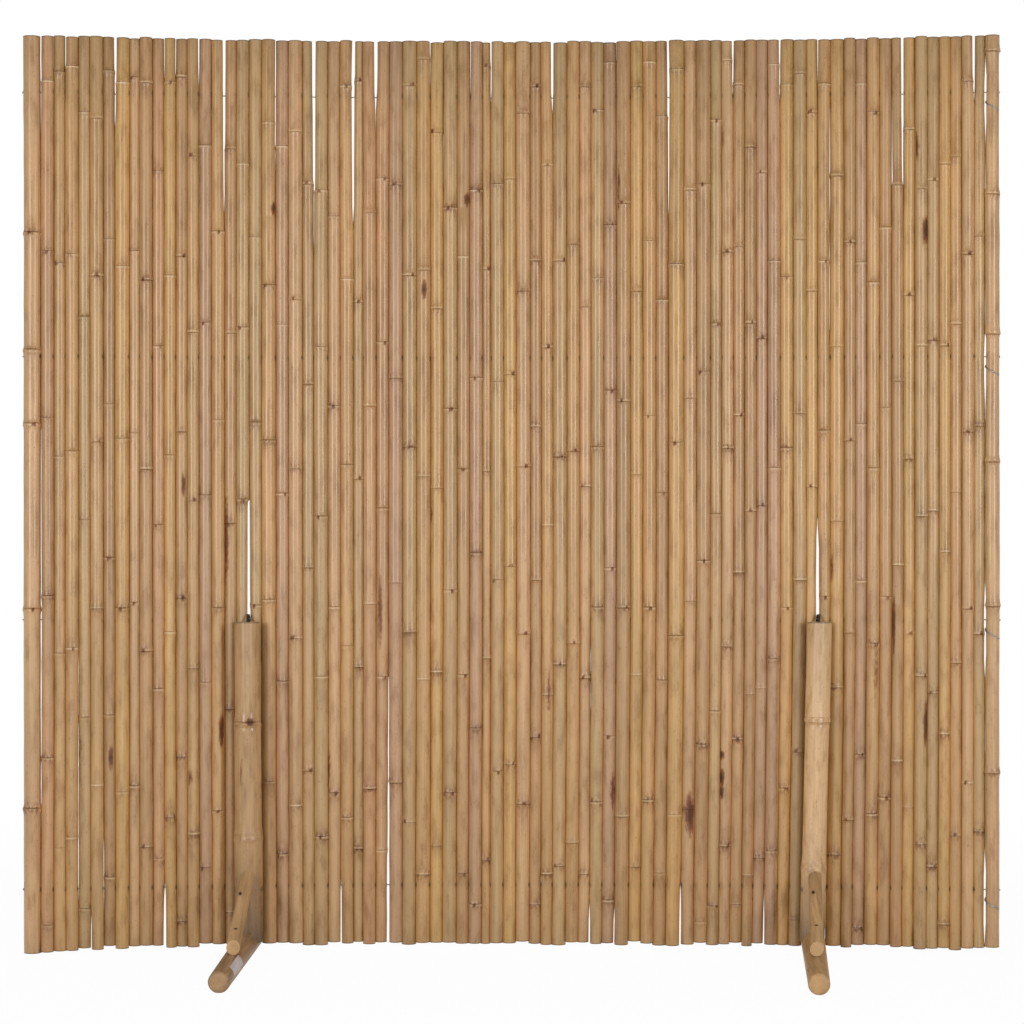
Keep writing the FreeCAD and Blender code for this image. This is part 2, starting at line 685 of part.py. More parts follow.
def label_solid(leg):
    """A blank paper label stuck round the upper side of the foot."""
    skin = leg.foot_envelope(LABEL_LIFT + LABEL_THICKNESS).cut(leg.foot_envelope(LABEL_LIFT))
    middle = leg.foot_front - leg.forward * LABEL_FROM_END
    radius = leg.foot_radius(middle.y)
    middle = middle + V(0, 0, radius - FOOT_FLAT)
    half = math.radians(LABEL_ANGLE / 2)
    far = 3 * radius
    side = far * math.tan(half)
    wedge = Part.Face(Part.makePolygon([V(0, 0, 0), V(-side, 0, far), V(side, 0, far), V(0, 0, 0)]))
    wedge = wedge.extrude(V(0, LABEL_LENGTH, 0))
    heading = math.degrees(math.atan2(leg.forward.x, -leg.forward.y))
    turned = FreeCAD.Rotation(UP, heading).multiply(FreeCAD.Rotation(V(0, 1, 0), LABEL_TURN))
    wedge.Placement = FreeCAD.Placement(middle, turned)
    return skin.common(wedge)


def gather():
    """Every node's name with its solids."""
    nodes = {}
    for first in range(0, len(CANES), CANES_IN_A_NODE):
        group = CANES[first:first + CANES_IN_A_NODE]
        name = "canes_%02d_%02d" % (group[0].number, group[-1].number)
        nodes[name] = [cane_solid(cane) for cane in group]
    for number, row in enumerate(WIRE_ROWS, 1):
        nodes["wire_row_%d" % number] = [wire_solid(row)]
    for leg in LEGS:
        nodes[leg.name + "_post"] = [post_solid(leg)]
        nodes[leg.name + "_foot"] = [foot_solid(leg)]
        nodes[leg.name + "_brace"] = [brace_solid(leg)]
        nodes[leg.name + "_tie"] = [tie_turns(leg, 0.0)]
    nodes["brace_nails"] = [nail_solid(nail) for leg in LEGS for nail in nail_lines(leg)]
    nodes["blank_label"] = [label_solid(LEFT_LEG)]
    return nodes


def to_middle(nodes):
    """The move that puts the part's origin at the bottom middle of its box."""
    wires = [nodes["wire_row_%d" % number][0] for number in range(1, len(WIRE_ROWS) + 1)]
    feet = [nodes[leg.name + "_foot"][0] for leg in LEGS]
    across = [point.x for wire in wires for point in wire.tessellate(MEASURE_STEP)[0]]
    along_feet = [point.y for foot in feet for point in foot.tessellate(MEASURE_STEP)[0]]
    return V(-(min(across) + max(across)) / 2, -(min(along_feet) + max(along_feet)) / 2, 0)


def main():
    os.makedirs("parts", exist_ok=True)
    nodes = gather()
    move = to_middle(nodes)
    print("move", move)
    for name, solids in nodes.items():
        shape = solids[0] if len(solids) == 1 else Part.makeCompound(solids)
        shape.translate(move)
        shape.exportStep("parts/" + name + ".step")
        print(name, len(shape.Solids), "solids", round(shape.Volume), shape.isValid())


main()
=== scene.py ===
"""Bamboo fence panel, dressed: canes, legs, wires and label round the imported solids, and a stage."""

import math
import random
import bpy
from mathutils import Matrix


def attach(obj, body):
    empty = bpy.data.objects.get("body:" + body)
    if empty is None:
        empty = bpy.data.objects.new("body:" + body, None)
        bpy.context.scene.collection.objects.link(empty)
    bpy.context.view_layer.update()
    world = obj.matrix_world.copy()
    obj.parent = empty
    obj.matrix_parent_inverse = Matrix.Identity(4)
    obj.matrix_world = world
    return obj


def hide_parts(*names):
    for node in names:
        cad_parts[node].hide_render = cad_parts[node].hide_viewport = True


bl_info = {
    "name": "Bamboo fence panel",
    "version": (1, 0, 0),
    "blender": (4, 5, 0),
    "location": "3D View > Sidebar > Bamboo",
    "description": "Models a free-standing bamboo fence panel round its packed solids",
    "category": "Object",
}

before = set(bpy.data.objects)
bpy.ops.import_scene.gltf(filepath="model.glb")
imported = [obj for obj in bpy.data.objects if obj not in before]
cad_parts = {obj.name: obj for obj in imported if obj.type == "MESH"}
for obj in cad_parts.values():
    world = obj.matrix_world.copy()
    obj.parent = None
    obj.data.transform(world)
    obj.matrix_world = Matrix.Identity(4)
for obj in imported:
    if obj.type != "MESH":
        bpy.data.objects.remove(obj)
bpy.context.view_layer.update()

import bpy
from mathutils import Vector

MM = 0.001

# The wall, in millimetres, as the solids are laid out
WALL_MIDDLE = Vector((2.04, 52.74, 0.0))
WALL_WIDTH = 1582.0
BOW_RADIUS = 5000.0
BOTTOM_HEIGHT = 10.0
BOTTOM_UNEVEN = 3.5
LOW_CORNER_DROP = 7.0
LOW_CORNER_CANES = 6
TOP_HEIGHT = 1484.0
TOP_UNEVEN = 1.2
CANES_IN_A_NODE = 2

# Canes, left to right, by thickness grade, ten to a line
CANE_GRADES = (
    "fccccccdbc"
    "cbcbdcccdd"
    "ddcddcbcdd"
    "eddddcacdd"
    "cbecccdddc"
    "deddcbcbcc"
    "dcccebccdb"
    "cccbcbce"
)
GRADE_DIAMETERS = {"a": 14.6, "b": 16.6, "c": 18.7, "d": 20.6, "e": 22.8, "f": 25.2}

# A cane tapers a little, and grows from a share of its thickness until its neighbours stop it
TAPER_SPREAD = 0.9
FIRST_THICKNESS = 0.9
OVERGROWTH = 0.8
WRAPPED_UNEVEN = 0.9
GROWTH_PASSES = 12

# Wall of a cane, air to the next, how far nodes stand to the front or rear, and ends cut over a foot
CANE_WALL = 2.8
CANE_CLEARANCE = 0.1
CANE_STAGGER = (1.5, 2.5)
CUT_OVER_FOOT = {18: 39.2, 19: 39.3, 63: 39.4, 64: 39.3}

# Nodes of a cane: how far apart they are, and how far from its ends, the wires and the next cane's
INTERNODE = 300.0
INTERNODE_SPREAD = 38.0
INTERNODE_SHORTEST = 0.93
INTERNODE_LONGEST = 1.05
RING_BULGE = 0.25
NODE_FROM_END = 26.0
NODE_FROM_WIRE = 18.0
NODE_FROM_NEXT_NODE = 9.0
OUTER_NODES = {1: (237, 559, 858, 977, 1166), 78: (294, 563, 796, 1002, 1228, 1458)}

# Gaps between canes: the cane on its left, its width at its widest, and the height where it starts if
# it widens to the top, where it ends if it widens to the foot, or where it starts, is widest and ends
OPEN_TOP = TOP_HEIGHT + 1.0
OPEN_FOOT = 0.0
TOP_GAPS = (
    (1, 5.5, 1290), (2, 3.5, 1385), (3, 4.5, 1370), (4, 2.5, 1395), (7, 5.5, 1330), (11, 3.0, 1390),
    (12, 3.0, 1385), (14, 2.5, 1400), (16, 6.0, 1180), (20, 3.5, 1215), (23, 8.0, 1130),
    (26, 8.0, 1190), (28, 8.0, 1370), (32, 2.5, 1400), (35, 4.0, 1370), (37, 3.5, 1390),
    (42, 6.5, 1360), (47, 3.5, 1360), (48, 4.0, 1380), (51, 6.0, 1190), (56, 4.5, 1370),
    (60, 4.0, 1380), (63, 3.0, 1390), (70, 7.0, 1190), (71, 3.5, 1390), (76, 4.0, 1370),
)
FOOT_GAPS = (
    (5, 3.2, 85), (11, 6.5, 115), (25, 4.0, 135), (29, 5.5, 510), (45, 4.0, 85), (47, 2.6, 75),
    (52, 4.5, 115), (59, 4.5, 90),
)
OPENINGS = (
    (15, 2.5, 1330, 1400, 1450), (33, 2.2, 1215, 1380, 1445), (64, 3.0, 980, 1200, 1410),
    (69, 2.5, 1190, 1290, 1395), (75, 2.5, 1210, 1340, 1410), (1, 4.2, 70, 480, 1170),
    (4, 3.6, 80, 160, 505), (6, 3.8, 85, 115, 200), (10, 2.5, 370, 420, 470),
    (40, 3.2, 370, 440, 510), (41, 3.6, 55, 140, 250), (45, 3.0, 380, 440, 490),
)
OPENINGS += tuple(gap + (OPEN_TOP, OPEN_TOP) for gap in TOP_GAPS)
OPENINGS += tuple((cane, width, OPEN_FOOT, OPEN_FOOT, end) for cane, width, end in FOOT_GAPS)

# Wires, and the slits that the ties and the wires' wrapped ends keep open
WIRE_ROWS = (105.0, 541.0, 966.0, 1393.0)
WIRE_DIAMETER = 2.0
WRAP_CLEARANCE = 0.3
WRAP_DROP = 30.0
WRAP_GAP_REACH = 45.0
WRAP_GAP_SLACK = 1.0
LEFT_LEG_CANE = 18
RIGHT_LEG_CANE = 63
LEFT_FOOT_PLACE = -428.4
RIGHT_FOOT_PLACE = 489.8
LEFT_TIE_PLACE = -429.6
RIGHT_TIE_PLACE = 498.0
TIE_SLIT = 5.4
TIE_SLIT_FROM = 330.0
LEFT_SLIT_TOP = 745.0
RIGHT_SLIT_TOP = 690.0
FOOT_SIDE_GAP = 2.8
FOOT_SIDE_GAP_TOP = 150.0

# The painted shade round a wire between two canes, and the height in metres over which a ramp finds it
WIRE_SHADE_REACH = 3.2
WIRE_SHADE_RAMP = 1.5

# Feet: dark and light grain, and cut front end. Braces: how far they lean, and the same three colours
FOOT_TONES = (("left", "#87674A", "#AC8B64", "#9C7B54"), ("right", "#A17D52", "#C29D6C", "#B38D5C"))
BRACE_SLANT = math.radians(22.9)
BRACE_TONES = ("#A47F55", "#C29E70", "#BB9565")
WIRE_ROUGHNESS = 0.45
NAIL_ROUGHNESS = 0.5

# The stage, in metres and degrees
FLOOR_SIZE = 60.0
FLOOR_NEAR, FLOOR_FAR = 1.0, 2.4
FLOOR_GLOW = 0.97
FLOOR_GREY = 0.8
LAMP_ANGLE = 35.0
LAMP_DISTANCE = 3.0
LAMP_AIM_DEPTH = 0.05
LAMP_SIZE = (0.22, 1.1)
FRONT_LAMP_HEIGHT = 0.45
FRONT_LAMP_SIZE = (1.8, 0.9)
CAMERA_PLACE = (0.00179, -4.20725, 0.715)

SEED = 78
SAMPLE_STEP = 30.0
random.seed(SEED)

# Outline of a stalk at a node: height from the node, and the share of its ridge that stands out there
NODE_OUTLINE = (
    (-7.0, 0.0), (-3.0, 0.2), (-1.4, 0.5), (-0.6, 0.15), (0.2, 1.0),
    (1.2, 0.55), (2.6, 0.7), (6.0, 0.25), (12.0, 0.0),
)
POST_NODE_OUTLINE = (
    (-14.0, 0.0), (-6.0, 0.4), (-2.4, 0.7), (-1.0, 0.3), (0.4, 1.0),
    (2.0, 0.7), (4.5, 0.85), (9.0, 0.45), (20.0, 0.0),
)

# The outlines' reach, how far a node colours the skin, what counts as at it, and how ridges differ
NODE_CLEAR = 13.0
NODE_REACH = 60.0
AT_NODE = 0.01
RIDGE_SPREAD = (0.6, 1.5)
OUTER_RIDGE = 2.3

# Skin of a cane: its sides, how far apart its rings are, how uneven, and how much fuller than its solid
CANE_SIDES = 24
SKIN_STEP = 40.0
UNEVEN_ROUND = 0.2
UNEVEN_ACROSS = 0.2
UNEVEN_DEEP = 0.3
SKIN_FULLER = 0.4
SHARP_ANGLE = math.radians(40)

# Neighbours that aren't meant to stand apart are drawn together, so that no light shows between them
OPEN_SIGHT = 0.3
SLIT_OVERLAP = 0.35
SLIT_MOST = 3.2

# Ends: a dark rim, a darker stretch near each, and how deep the lower one is open beside the upper
END_EDGE = 2.4
END_SHADE = 0.35
END_REACH = 130.0
END_DARKENING = 0.84
LOWER_END_SHARE = 1 / 3

# Tone of each cane, left to right, ten to a line
CANE_TONES = (
    "prtoktdgpb"
    "rgbtmobkko"
    "mpkkpokrrm"
    "kogkbmokgp"
    "bokopkmbgo"
    "bgpbkpbbmm"
    "gkgogbmobb"
    "gkkgopkp"
)
TONE_NAMES = {
    "t": "tan", "g": "golden", "o": "honey", "b": "brown", "r": "russet", "p": "pale", "m": "rosy",
    "k": "olive", "d": "dark",
}

# Dark marks on the canes: place across, height, half height, half width, how dark; then the rings of
# skin over each, as shares of its half height, and the patterns that fray its edge, with how strongly
MARKS = (
    (670, 1172, 26, 9, 1.4), (654, 1308, 26, 5, 1.1), (-75, 1226, 15, 6, 1.1), (-144, 1079, 18, 6, 1.0),
    (-534, 759, 24, 4, 1.0), (-134, 710, 22, 5, 0.9), (618, 530, 55, 4, 0.8), (670, 374, 45, 6, 1.1),
    (164, 260, 40, 6, 0.8), (290, 222, 44, 9, 1.2), (341, 318, 10, 5, 1.2), (341, 282, 16, 6, 1.3),
    (341, 258, 13, 5, 1.1), (-216, 555, 75, 5, 0.7),
    (-465, 669, 100, 5, 0.8), (-473, 361, 34, 5, 1.1), (-650, 317, 24, 6, 0.8), (-523, 284, 20, 5, 0.8),
    (-388, 1210, 14, 5, 0.9), (175, 1240, 50, 4, 0.6), (590, 450, 60, 5, 0.5), (-700, 330, 40, 5, 0.5),
    (345, 1325, 30, 4, 0.5), (-300, 300, 40, 5, 0.5), (520, 620, 34, 4, 0.5), (60, 420, 50, 5, 0.5),
)
MARK_RINGS = (-1.0, -0.7, -0.35, 0.0, 0.35, 0.7, 1.0)
MARK_RAGGED = (("streaks", 1.2), ("blots", 0.9))

# Bud scars: on what share of the nodes, how far aside and above, half height, half width, how dark
SCAR_SHARE = 0.4
SCAR_ASIDE = 0.6
SCAR_RISE = 1.5
SCAR = (4.6, 3.4, 0.85)

# Nodes: brown at the wall's foot and at its top, the least of brown and wax, and how the rest is spread
NODE_BROWN = (0.95, 0.6)
NODE_LEAST = 0.1
NODE_WAX = 0.6
BROWN_POWER = 1.2
WAX_POWER = 1.5

# How far apart the patterns of two stalks lie, in metres, and how much duller weather and marks are
PATTERN_STEP = 1.37
WEATHERED_DULLER = 0.12
MARK_DULLER = 0.5


def mix(a, b, t):
    """The value t of the way from a to b."""
    return a + (b - a) * t


def in_plan(s, depth=0.0):
    """The point at distance s along the bowed wall, depth to the rear of its middle line."""
    turn = s / BOW_RADIUS
    reach = BOW_RADIUS + depth
    return Vector((reach * math.sin(turn), reach * math.cos(turn) - BOW_RADIUS, 0.0))


class Cane:
    """One cane: its joints from the bottom end over its nodes to the top end."""

    def __init__(self, number, taken):
        self.number = number
        corner = max(0.0, 1.0 - (number - 1) / LOW_CORNER_CANES)
        uneven = random.uniform(-BOTTOM_UNEVEN, BOTTOM_UNEVEN) * (1.0 - corner)
        bottom = BOTTOM_HEIGHT - corner * LOW_CORNER_DROP + uneven
        top = TOP_HEIGHT + random.uniform(-TOP_UNEVEN, TOP_UNEVEN)
        placed = self.place_nodes(bottom, top, taken)
        self.nodes = list(OUTER_NODES.get(number, placed))
        self.heights = [bottom] + self.nodes + [top]
        self.places = [fitted(number, height)[0] for height in self.heights]
        side = 1 if number % 2 else -1
        self.depths = [side * random.uniform(*CANE_STAGGER) for _ in self.nodes]
        self.depths = self.depths[:1] + self.depths + self.depths[-1:]
        self.full = [fitted(number, (low + high) / 2)[1] / 2
                     for low, high in zip(self.heights, self.heights[1:])]
        self.radii = [radius * FIRST_THICKNESS for radius in self.full]

    def place_nodes(self, bottom, top, taken):
        """Heights of the nodes, clear of the ends, the wires and the left cane's nodes."""
        internode = INTERNODE + random.uniform(-INTERNODE_SPREAD, INTERNODE_SPREAD)
        height = bottom + NODE_FROM_END + random.random() * (internode - NODE_FROM_END)
        nodes = []
        while height < top - NODE_FROM_END:
            for wire in WIRE_ROWS:
                if abs(height - wire) < NODE_FROM_WIRE:
                    height = wire + NODE_FROM_WIRE
            for other in taken:
                if abs(height - other) < NODE_FROM_NEXT_NODE:
                    height = other + NODE_FROM_NEXT_NODE
            if height < top - NODE_FROM_END:
                nodes.append(height)
            height += internode * random.uniform(INTERNODE_SHORTEST, INTERNODE_LONGEST)
        return nodes

    def span(self, height):
        """The internode at a height, and how far up it the height is."""
        last = len(self.heights) - 2
        for index in range(last + 1):
            low, high = self.heights[index], self.heights[index + 1]
            if height <= high or index == last:
                return index, (height - low) / (high - low)

    def free_room(self, index, beside):
        """How far internode index is from touching the canes beside it."""
        low, high = self.heights[index], self.heights[index + 1]
        steps = math.ceil((high - low) / SAMPLE_STEP)
        samples = [mix(low, high, step / steps) for step in range(steps + 1)]
        marks = [node for cane in beside for node in cane.nodes]
        marks += [row - drop for row in WIRE_ROWS for drop in (0.0, WRAP_DROP / 2, WRAP_DROP)]
        samples += [mark for mark in marks if low < mark < high]
        room = []
        for height in samples:
            for cane in beside:
                across = cane.place_at(height) - self.place_at(height)
                apart = math.hypot(across, cane.depth_at(height) - self.depth_at(height))
                apart -= opening(min(self.number, cane.number), height, KEPT_OPENINGS)
                room.append(apart - self.radii[index] - cane.radii[cane.span(height)[0]])
        return min(room) - CANE_CLEARANCE - RING_BULGE

    def thicken(self, beside):
        """Grow each internode into half of its free room, up to a little more than its full thickness.

        The last cane, which the wires wrap, stays nearly as thin as its thinnest internode.
        """
        for index, full in enumerate(self.full):
            most = full + OVERGROWTH
            if self.number == len(CANE_GRADES):
                most = min(self.radii) + WRAPPED_UNEVEN
            self.radii[index] += min(self.free_room(index, beside) / 2, most - self.radii[index])

    def radius_at(self, height):
        return self.radii[self.span(height)[0]]

    def depth_at(self, height):
        index, share = self.span(height)
        return mix(self.depths[index], self.depths[index + 1], share)

    def place_at(self, height):
        index, share = self.span(height)
        return mix(self.places[index], self.places[index + 1], share)

    def point_at(self, height):
        spot = in_plan(self.place_at(height), self.depth_at(height))
        return Vector((spot.x, spot.y, height)) + WALL_MIDDLE


def opening(number, height, openings=None):
    """How far cane number and the next one stand apart at a height."""
    wide = 0.0
    for cane, width, start, peak, end in openings or ALL_OPENINGS:
        if cane == number and start <= height <= end:
            run = (height - start, peak - start) if height < peak else (end - height, end - peak)
            wide = max(wide, width * (run[0] / run[1] if run[1] else 1.0))
    return wide


def wrap_openings():
    """The last two canes stand apart where each row of wire comes back between them."""
    last = len(CANE_GRADES) - 1
    width = WIRE_DIAMETER + 2 * WRAP_CLEARANCE
    return tuple(
        (last, width + WRAP_GAP_SLACK, row - WRAP_DROP - WRAP_GAP_REACH, row - WRAP_DROP / 2,
         row + WRAP_GAP_REACH)
        for row in WIRE_ROWS
    )


FOOT_OPENINGS = tuple(
    (cane + side, FOOT_SIDE_GAP, OPEN_FOOT, OPEN_FOOT, FOOT_SIDE_GAP_TOP)
    for cane in (LEFT_LEG_CANE, RIGHT_LEG_CANE) for side in (-1, 1)
)
TIE_OPENINGS = (
    (LEFT_LEG_CANE, TIE_SLIT, TIE_SLIT_FROM, WIRE_ROWS[1], LEFT_SLIT_TOP),
    (RIGHT_LEG_CANE, TIE_SLIT, TIE_SLIT_FROM, WIRE_ROWS[1], RIGHT_SLIT_TOP),
)
KEPT_OPENINGS = TIE_OPENINGS + wrap_openings()
ALL_OPENINGS = OPENINGS + FOOT_OPENINGS + KEPT_OPENINGS
SIGHT_OPENINGS = OPENINGS + KEPT_OPENINGS
TAPERS = [random.uniform(-TAPER_SPREAD, TAPER_SPREAD) for _ in CANE_GRADES]


def full_width(number, height=TOP_HEIGHT / 2):
    """Thickness of a cane at a height, before its stretch of the wall is filled."""
    return GRADE_DIAMETERS[CANE_GRADES[number - 1]] + TAPERS[number - 1] * (0.5 - height / TOP_HEIGHT)


def along(x):
    """Distance along the bowed wall's middle line of the point at x."""
    return BOW_RADIUS * math.asin(x / BOW_RADIUS)


def held_places(height):
    """Numbers of the canes whose right side is held at a height, each with its place along the wall."""
    share = min(1.0, height / WIRE_ROWS[1])
    return (
        (0, -WALL_WIDTH / 2),
        (LEFT_LEG_CANE, mix(along(LEFT_FOOT_PLACE), along(LEFT_TIE_PLACE), share)),
        (RIGHT_LEG_CANE, mix(along(RIGHT_FOOT_PLACE), along(RIGHT_TIE_PLACE), share)),
        (len(CANE_GRADES), WALL_WIDTH / 2),
    )


def fitted(number, height):
    """Middle and thickness of a cane at a height, its stretch of the wall filled from end to end."""
    held = held_places(height)
    ahead = [index for index, (cane, _) in enumerate(held) if cane >= number][0]
    (before, start), (last, end) = held[ahead - 1:ahead + 1]
    share = (end - start) / sum(full_width(cane, height) for cane in range(before + 1, last + 1))
    left = start + share * sum(full_width(cane, height) for cane in range(before + 1, number))
    width = full_width(number, height) * share
    on_left, on_right = opening(number - 1, height), opening(number, height)
    return left + width / 2 + (on_left - on_right) / 4, width - (on_left + on_right) / 2


def stand_canes():
    """All the canes, each thickened until it nearly touches its neighbours."""
    canes = []
    for number in range(1, len(CANE_GRADES) + 1):
        canes.append(Cane(number, canes[-1].nodes if canes else []))
    for _ in range(GROWTH_PASSES):
        for index, cane in enumerate(canes):
            cane.thicken(canes[max(index - 1, 0):index] + canes[index + 1:index + 2])
    return canes


class Post:
    """One leg's post: its axis, its thickness between the nodes, and the marks on it."""

    def __init__(self, name, low, high, radii, nodes, number, marks):
        self.name, self.low, self.high, self.radii, self.nodes = name, low, high, radii, nodes
        self.tone, self.number, self.marks = name, number, marks
        self.way = 1
        self.looks = [POST_NODE_LOOK for _ in nodes]
        self.ends = (low.z, high.z)

    def radius_at(self, height):
        return self.radii[sum(height > node for node in self.nodes)]

    def point_at(self, height):
        share = (height - self.low.z) / (self.high.z - self.low.z)
        return self.low.lerp(self.high, share) + WALL_MIDDLE


# Posts, in millimetres in the wall's own frame: ends, radii, nodes, a number as a cane has, and marks
POST_WALL = 4.5
POST_OPEN = 120.0
POST_SIDES = 32
POST_NODE_LOOK = (0.05, 0.4)
POSTS = (
    Post("left_post", Vector((-425.5, -53.7, 21.0)), Vector((-429.45, -50.95, 537.0)),
         (23.0, 21.75, 20.25), (190.0, 373.0), 61.3,
         [(6.0, 376.0, 8.0, 7.0, 1.4), (-9.0, 300.0, 30.0, 3.0, 0.35)]),
    Post("right_post", Vector((484.8, -56.28, 21.0)), Vector((497.35, -56.03, 537.0)),
         (20.25, 19.25, 20.0), (142.0, 376.0), 83.9,
         [(-6.0, 378.0, 6.0, 3.0, 0.7)]),
)


def linear(code):
    """A colour written as sRGB hex, turned linear."""
    values = [int(code[i:i + 2], 16) / 255 for i in (1, 3, 5)]
    return tuple(v / 12.92 if v <= 0.04045 else ((v + 0.055) / 1.055) ** 2.4 for v in values) + (1.0,)


def grey(value):
    """A linear grey, as a socket takes it."""
    return (value, value, value, 1.0)


# Settings of a Mix node that multiplies two colours
MULTIPLIED = {"data_type": "RGBA", "blend_type": "MULTIPLY"}


def add(tree, kind, inputs=None, out=None, stops=None, **settings):
    """Adds a shader node with its settings, ramp stops, values and links, and gives one output."""
    node = tree.nodes.new("ShaderNode" + kind)
    for name, value in settings.items():
        setattr(node, name, value)
    if stops:
        elements = node.color_ramp.elements
        elements.remove(elements[-1])
        elements[0].position, elements[0].color = stops[0]
        for place, colour in stops[1:]:
            elements.new(place).color = colour
    for key, value in (inputs or {}).items():
        if isinstance(value, bpy.types.NodeSocket):
            tree.links.new(value, node.inputs[key])
        else:
            node.inputs[key].default_value = value
    usable = [socket for socket in node.outputs if socket.enabled]
    return node.outputs[out] if out else usable[0] if usable else None


def fresh_material(name):
    """A new material without nodes, and its tree."""
    material = bpy.data.materials.new(name)
    material.use_nodes = True
    material.node_tree.nodes.clear()
    return material, material.node_tree


# Patterns in bamboo skin: how many lie in a metre across, in depth and along the stalk, and their
# detail. In millimetres across and along, lightness drifts over 111 by 294 and hue over 11 by 385,
# weathered patches are 13 by 45, grown-in streaks 3 by 167, specks 2.4 by 3.8 and dirt at the nodes
# 4 by 8. Fibres are 0.9 by 33, about three times as coarse as real ones, so that they show.
SKIN_PATTERNS = {
    "drift": ((9.0, 9.0, 3.4), 3.0),
    "hue": ((95.0, 95.0, 2.6), 2.0),
    "patches": ((75.0, 75.0, 22.0), 4.0),
    "streaks": ((330.0, 330.0, 6.0), 3.0),
    "fibres": ((1100.0, 1100.0, 30.0), 3.0),
    "specks": ((420.0, 420.0, 260.0), 1.0),
    "blots": ((240.0, 240.0, 130.0), 3.0),
}

# How strongly each pattern is laid over the skin, and the colours that it multiplies by, from where it
# is low to where it is high
SKIN_LAYERS = (
    ("drift", 1.0, (0.32, grey(0.9)), (0.68, grey(1.08))),
    ("hue", 1.0, (0.36, (1.03, 0.985, 0.96, 1.0)), (0.5, grey(1.0)), (0.64, (0.98, 1.0, 0.95, 1.0))),
    ("patches", 1.0, (0.3, (0.8, 0.74, 0.66, 1.0)), (0.5, grey(1.03)), (0.7, grey(1.08))),
    ("streaks", 0.8, (0.32, grey(0.86)), (0.68, grey(1.1))),
    ("fibres", 0.5, (0.3, grey(0.84)), (0.7, grey(1.1))),
    ("specks", 0.55, (0.27, (0.55, 0.42, 0.3, 1.0)), (0.33, grey(1.0)), (0.7, grey(1.0)),
     (0.76, grey(1.25))),
)


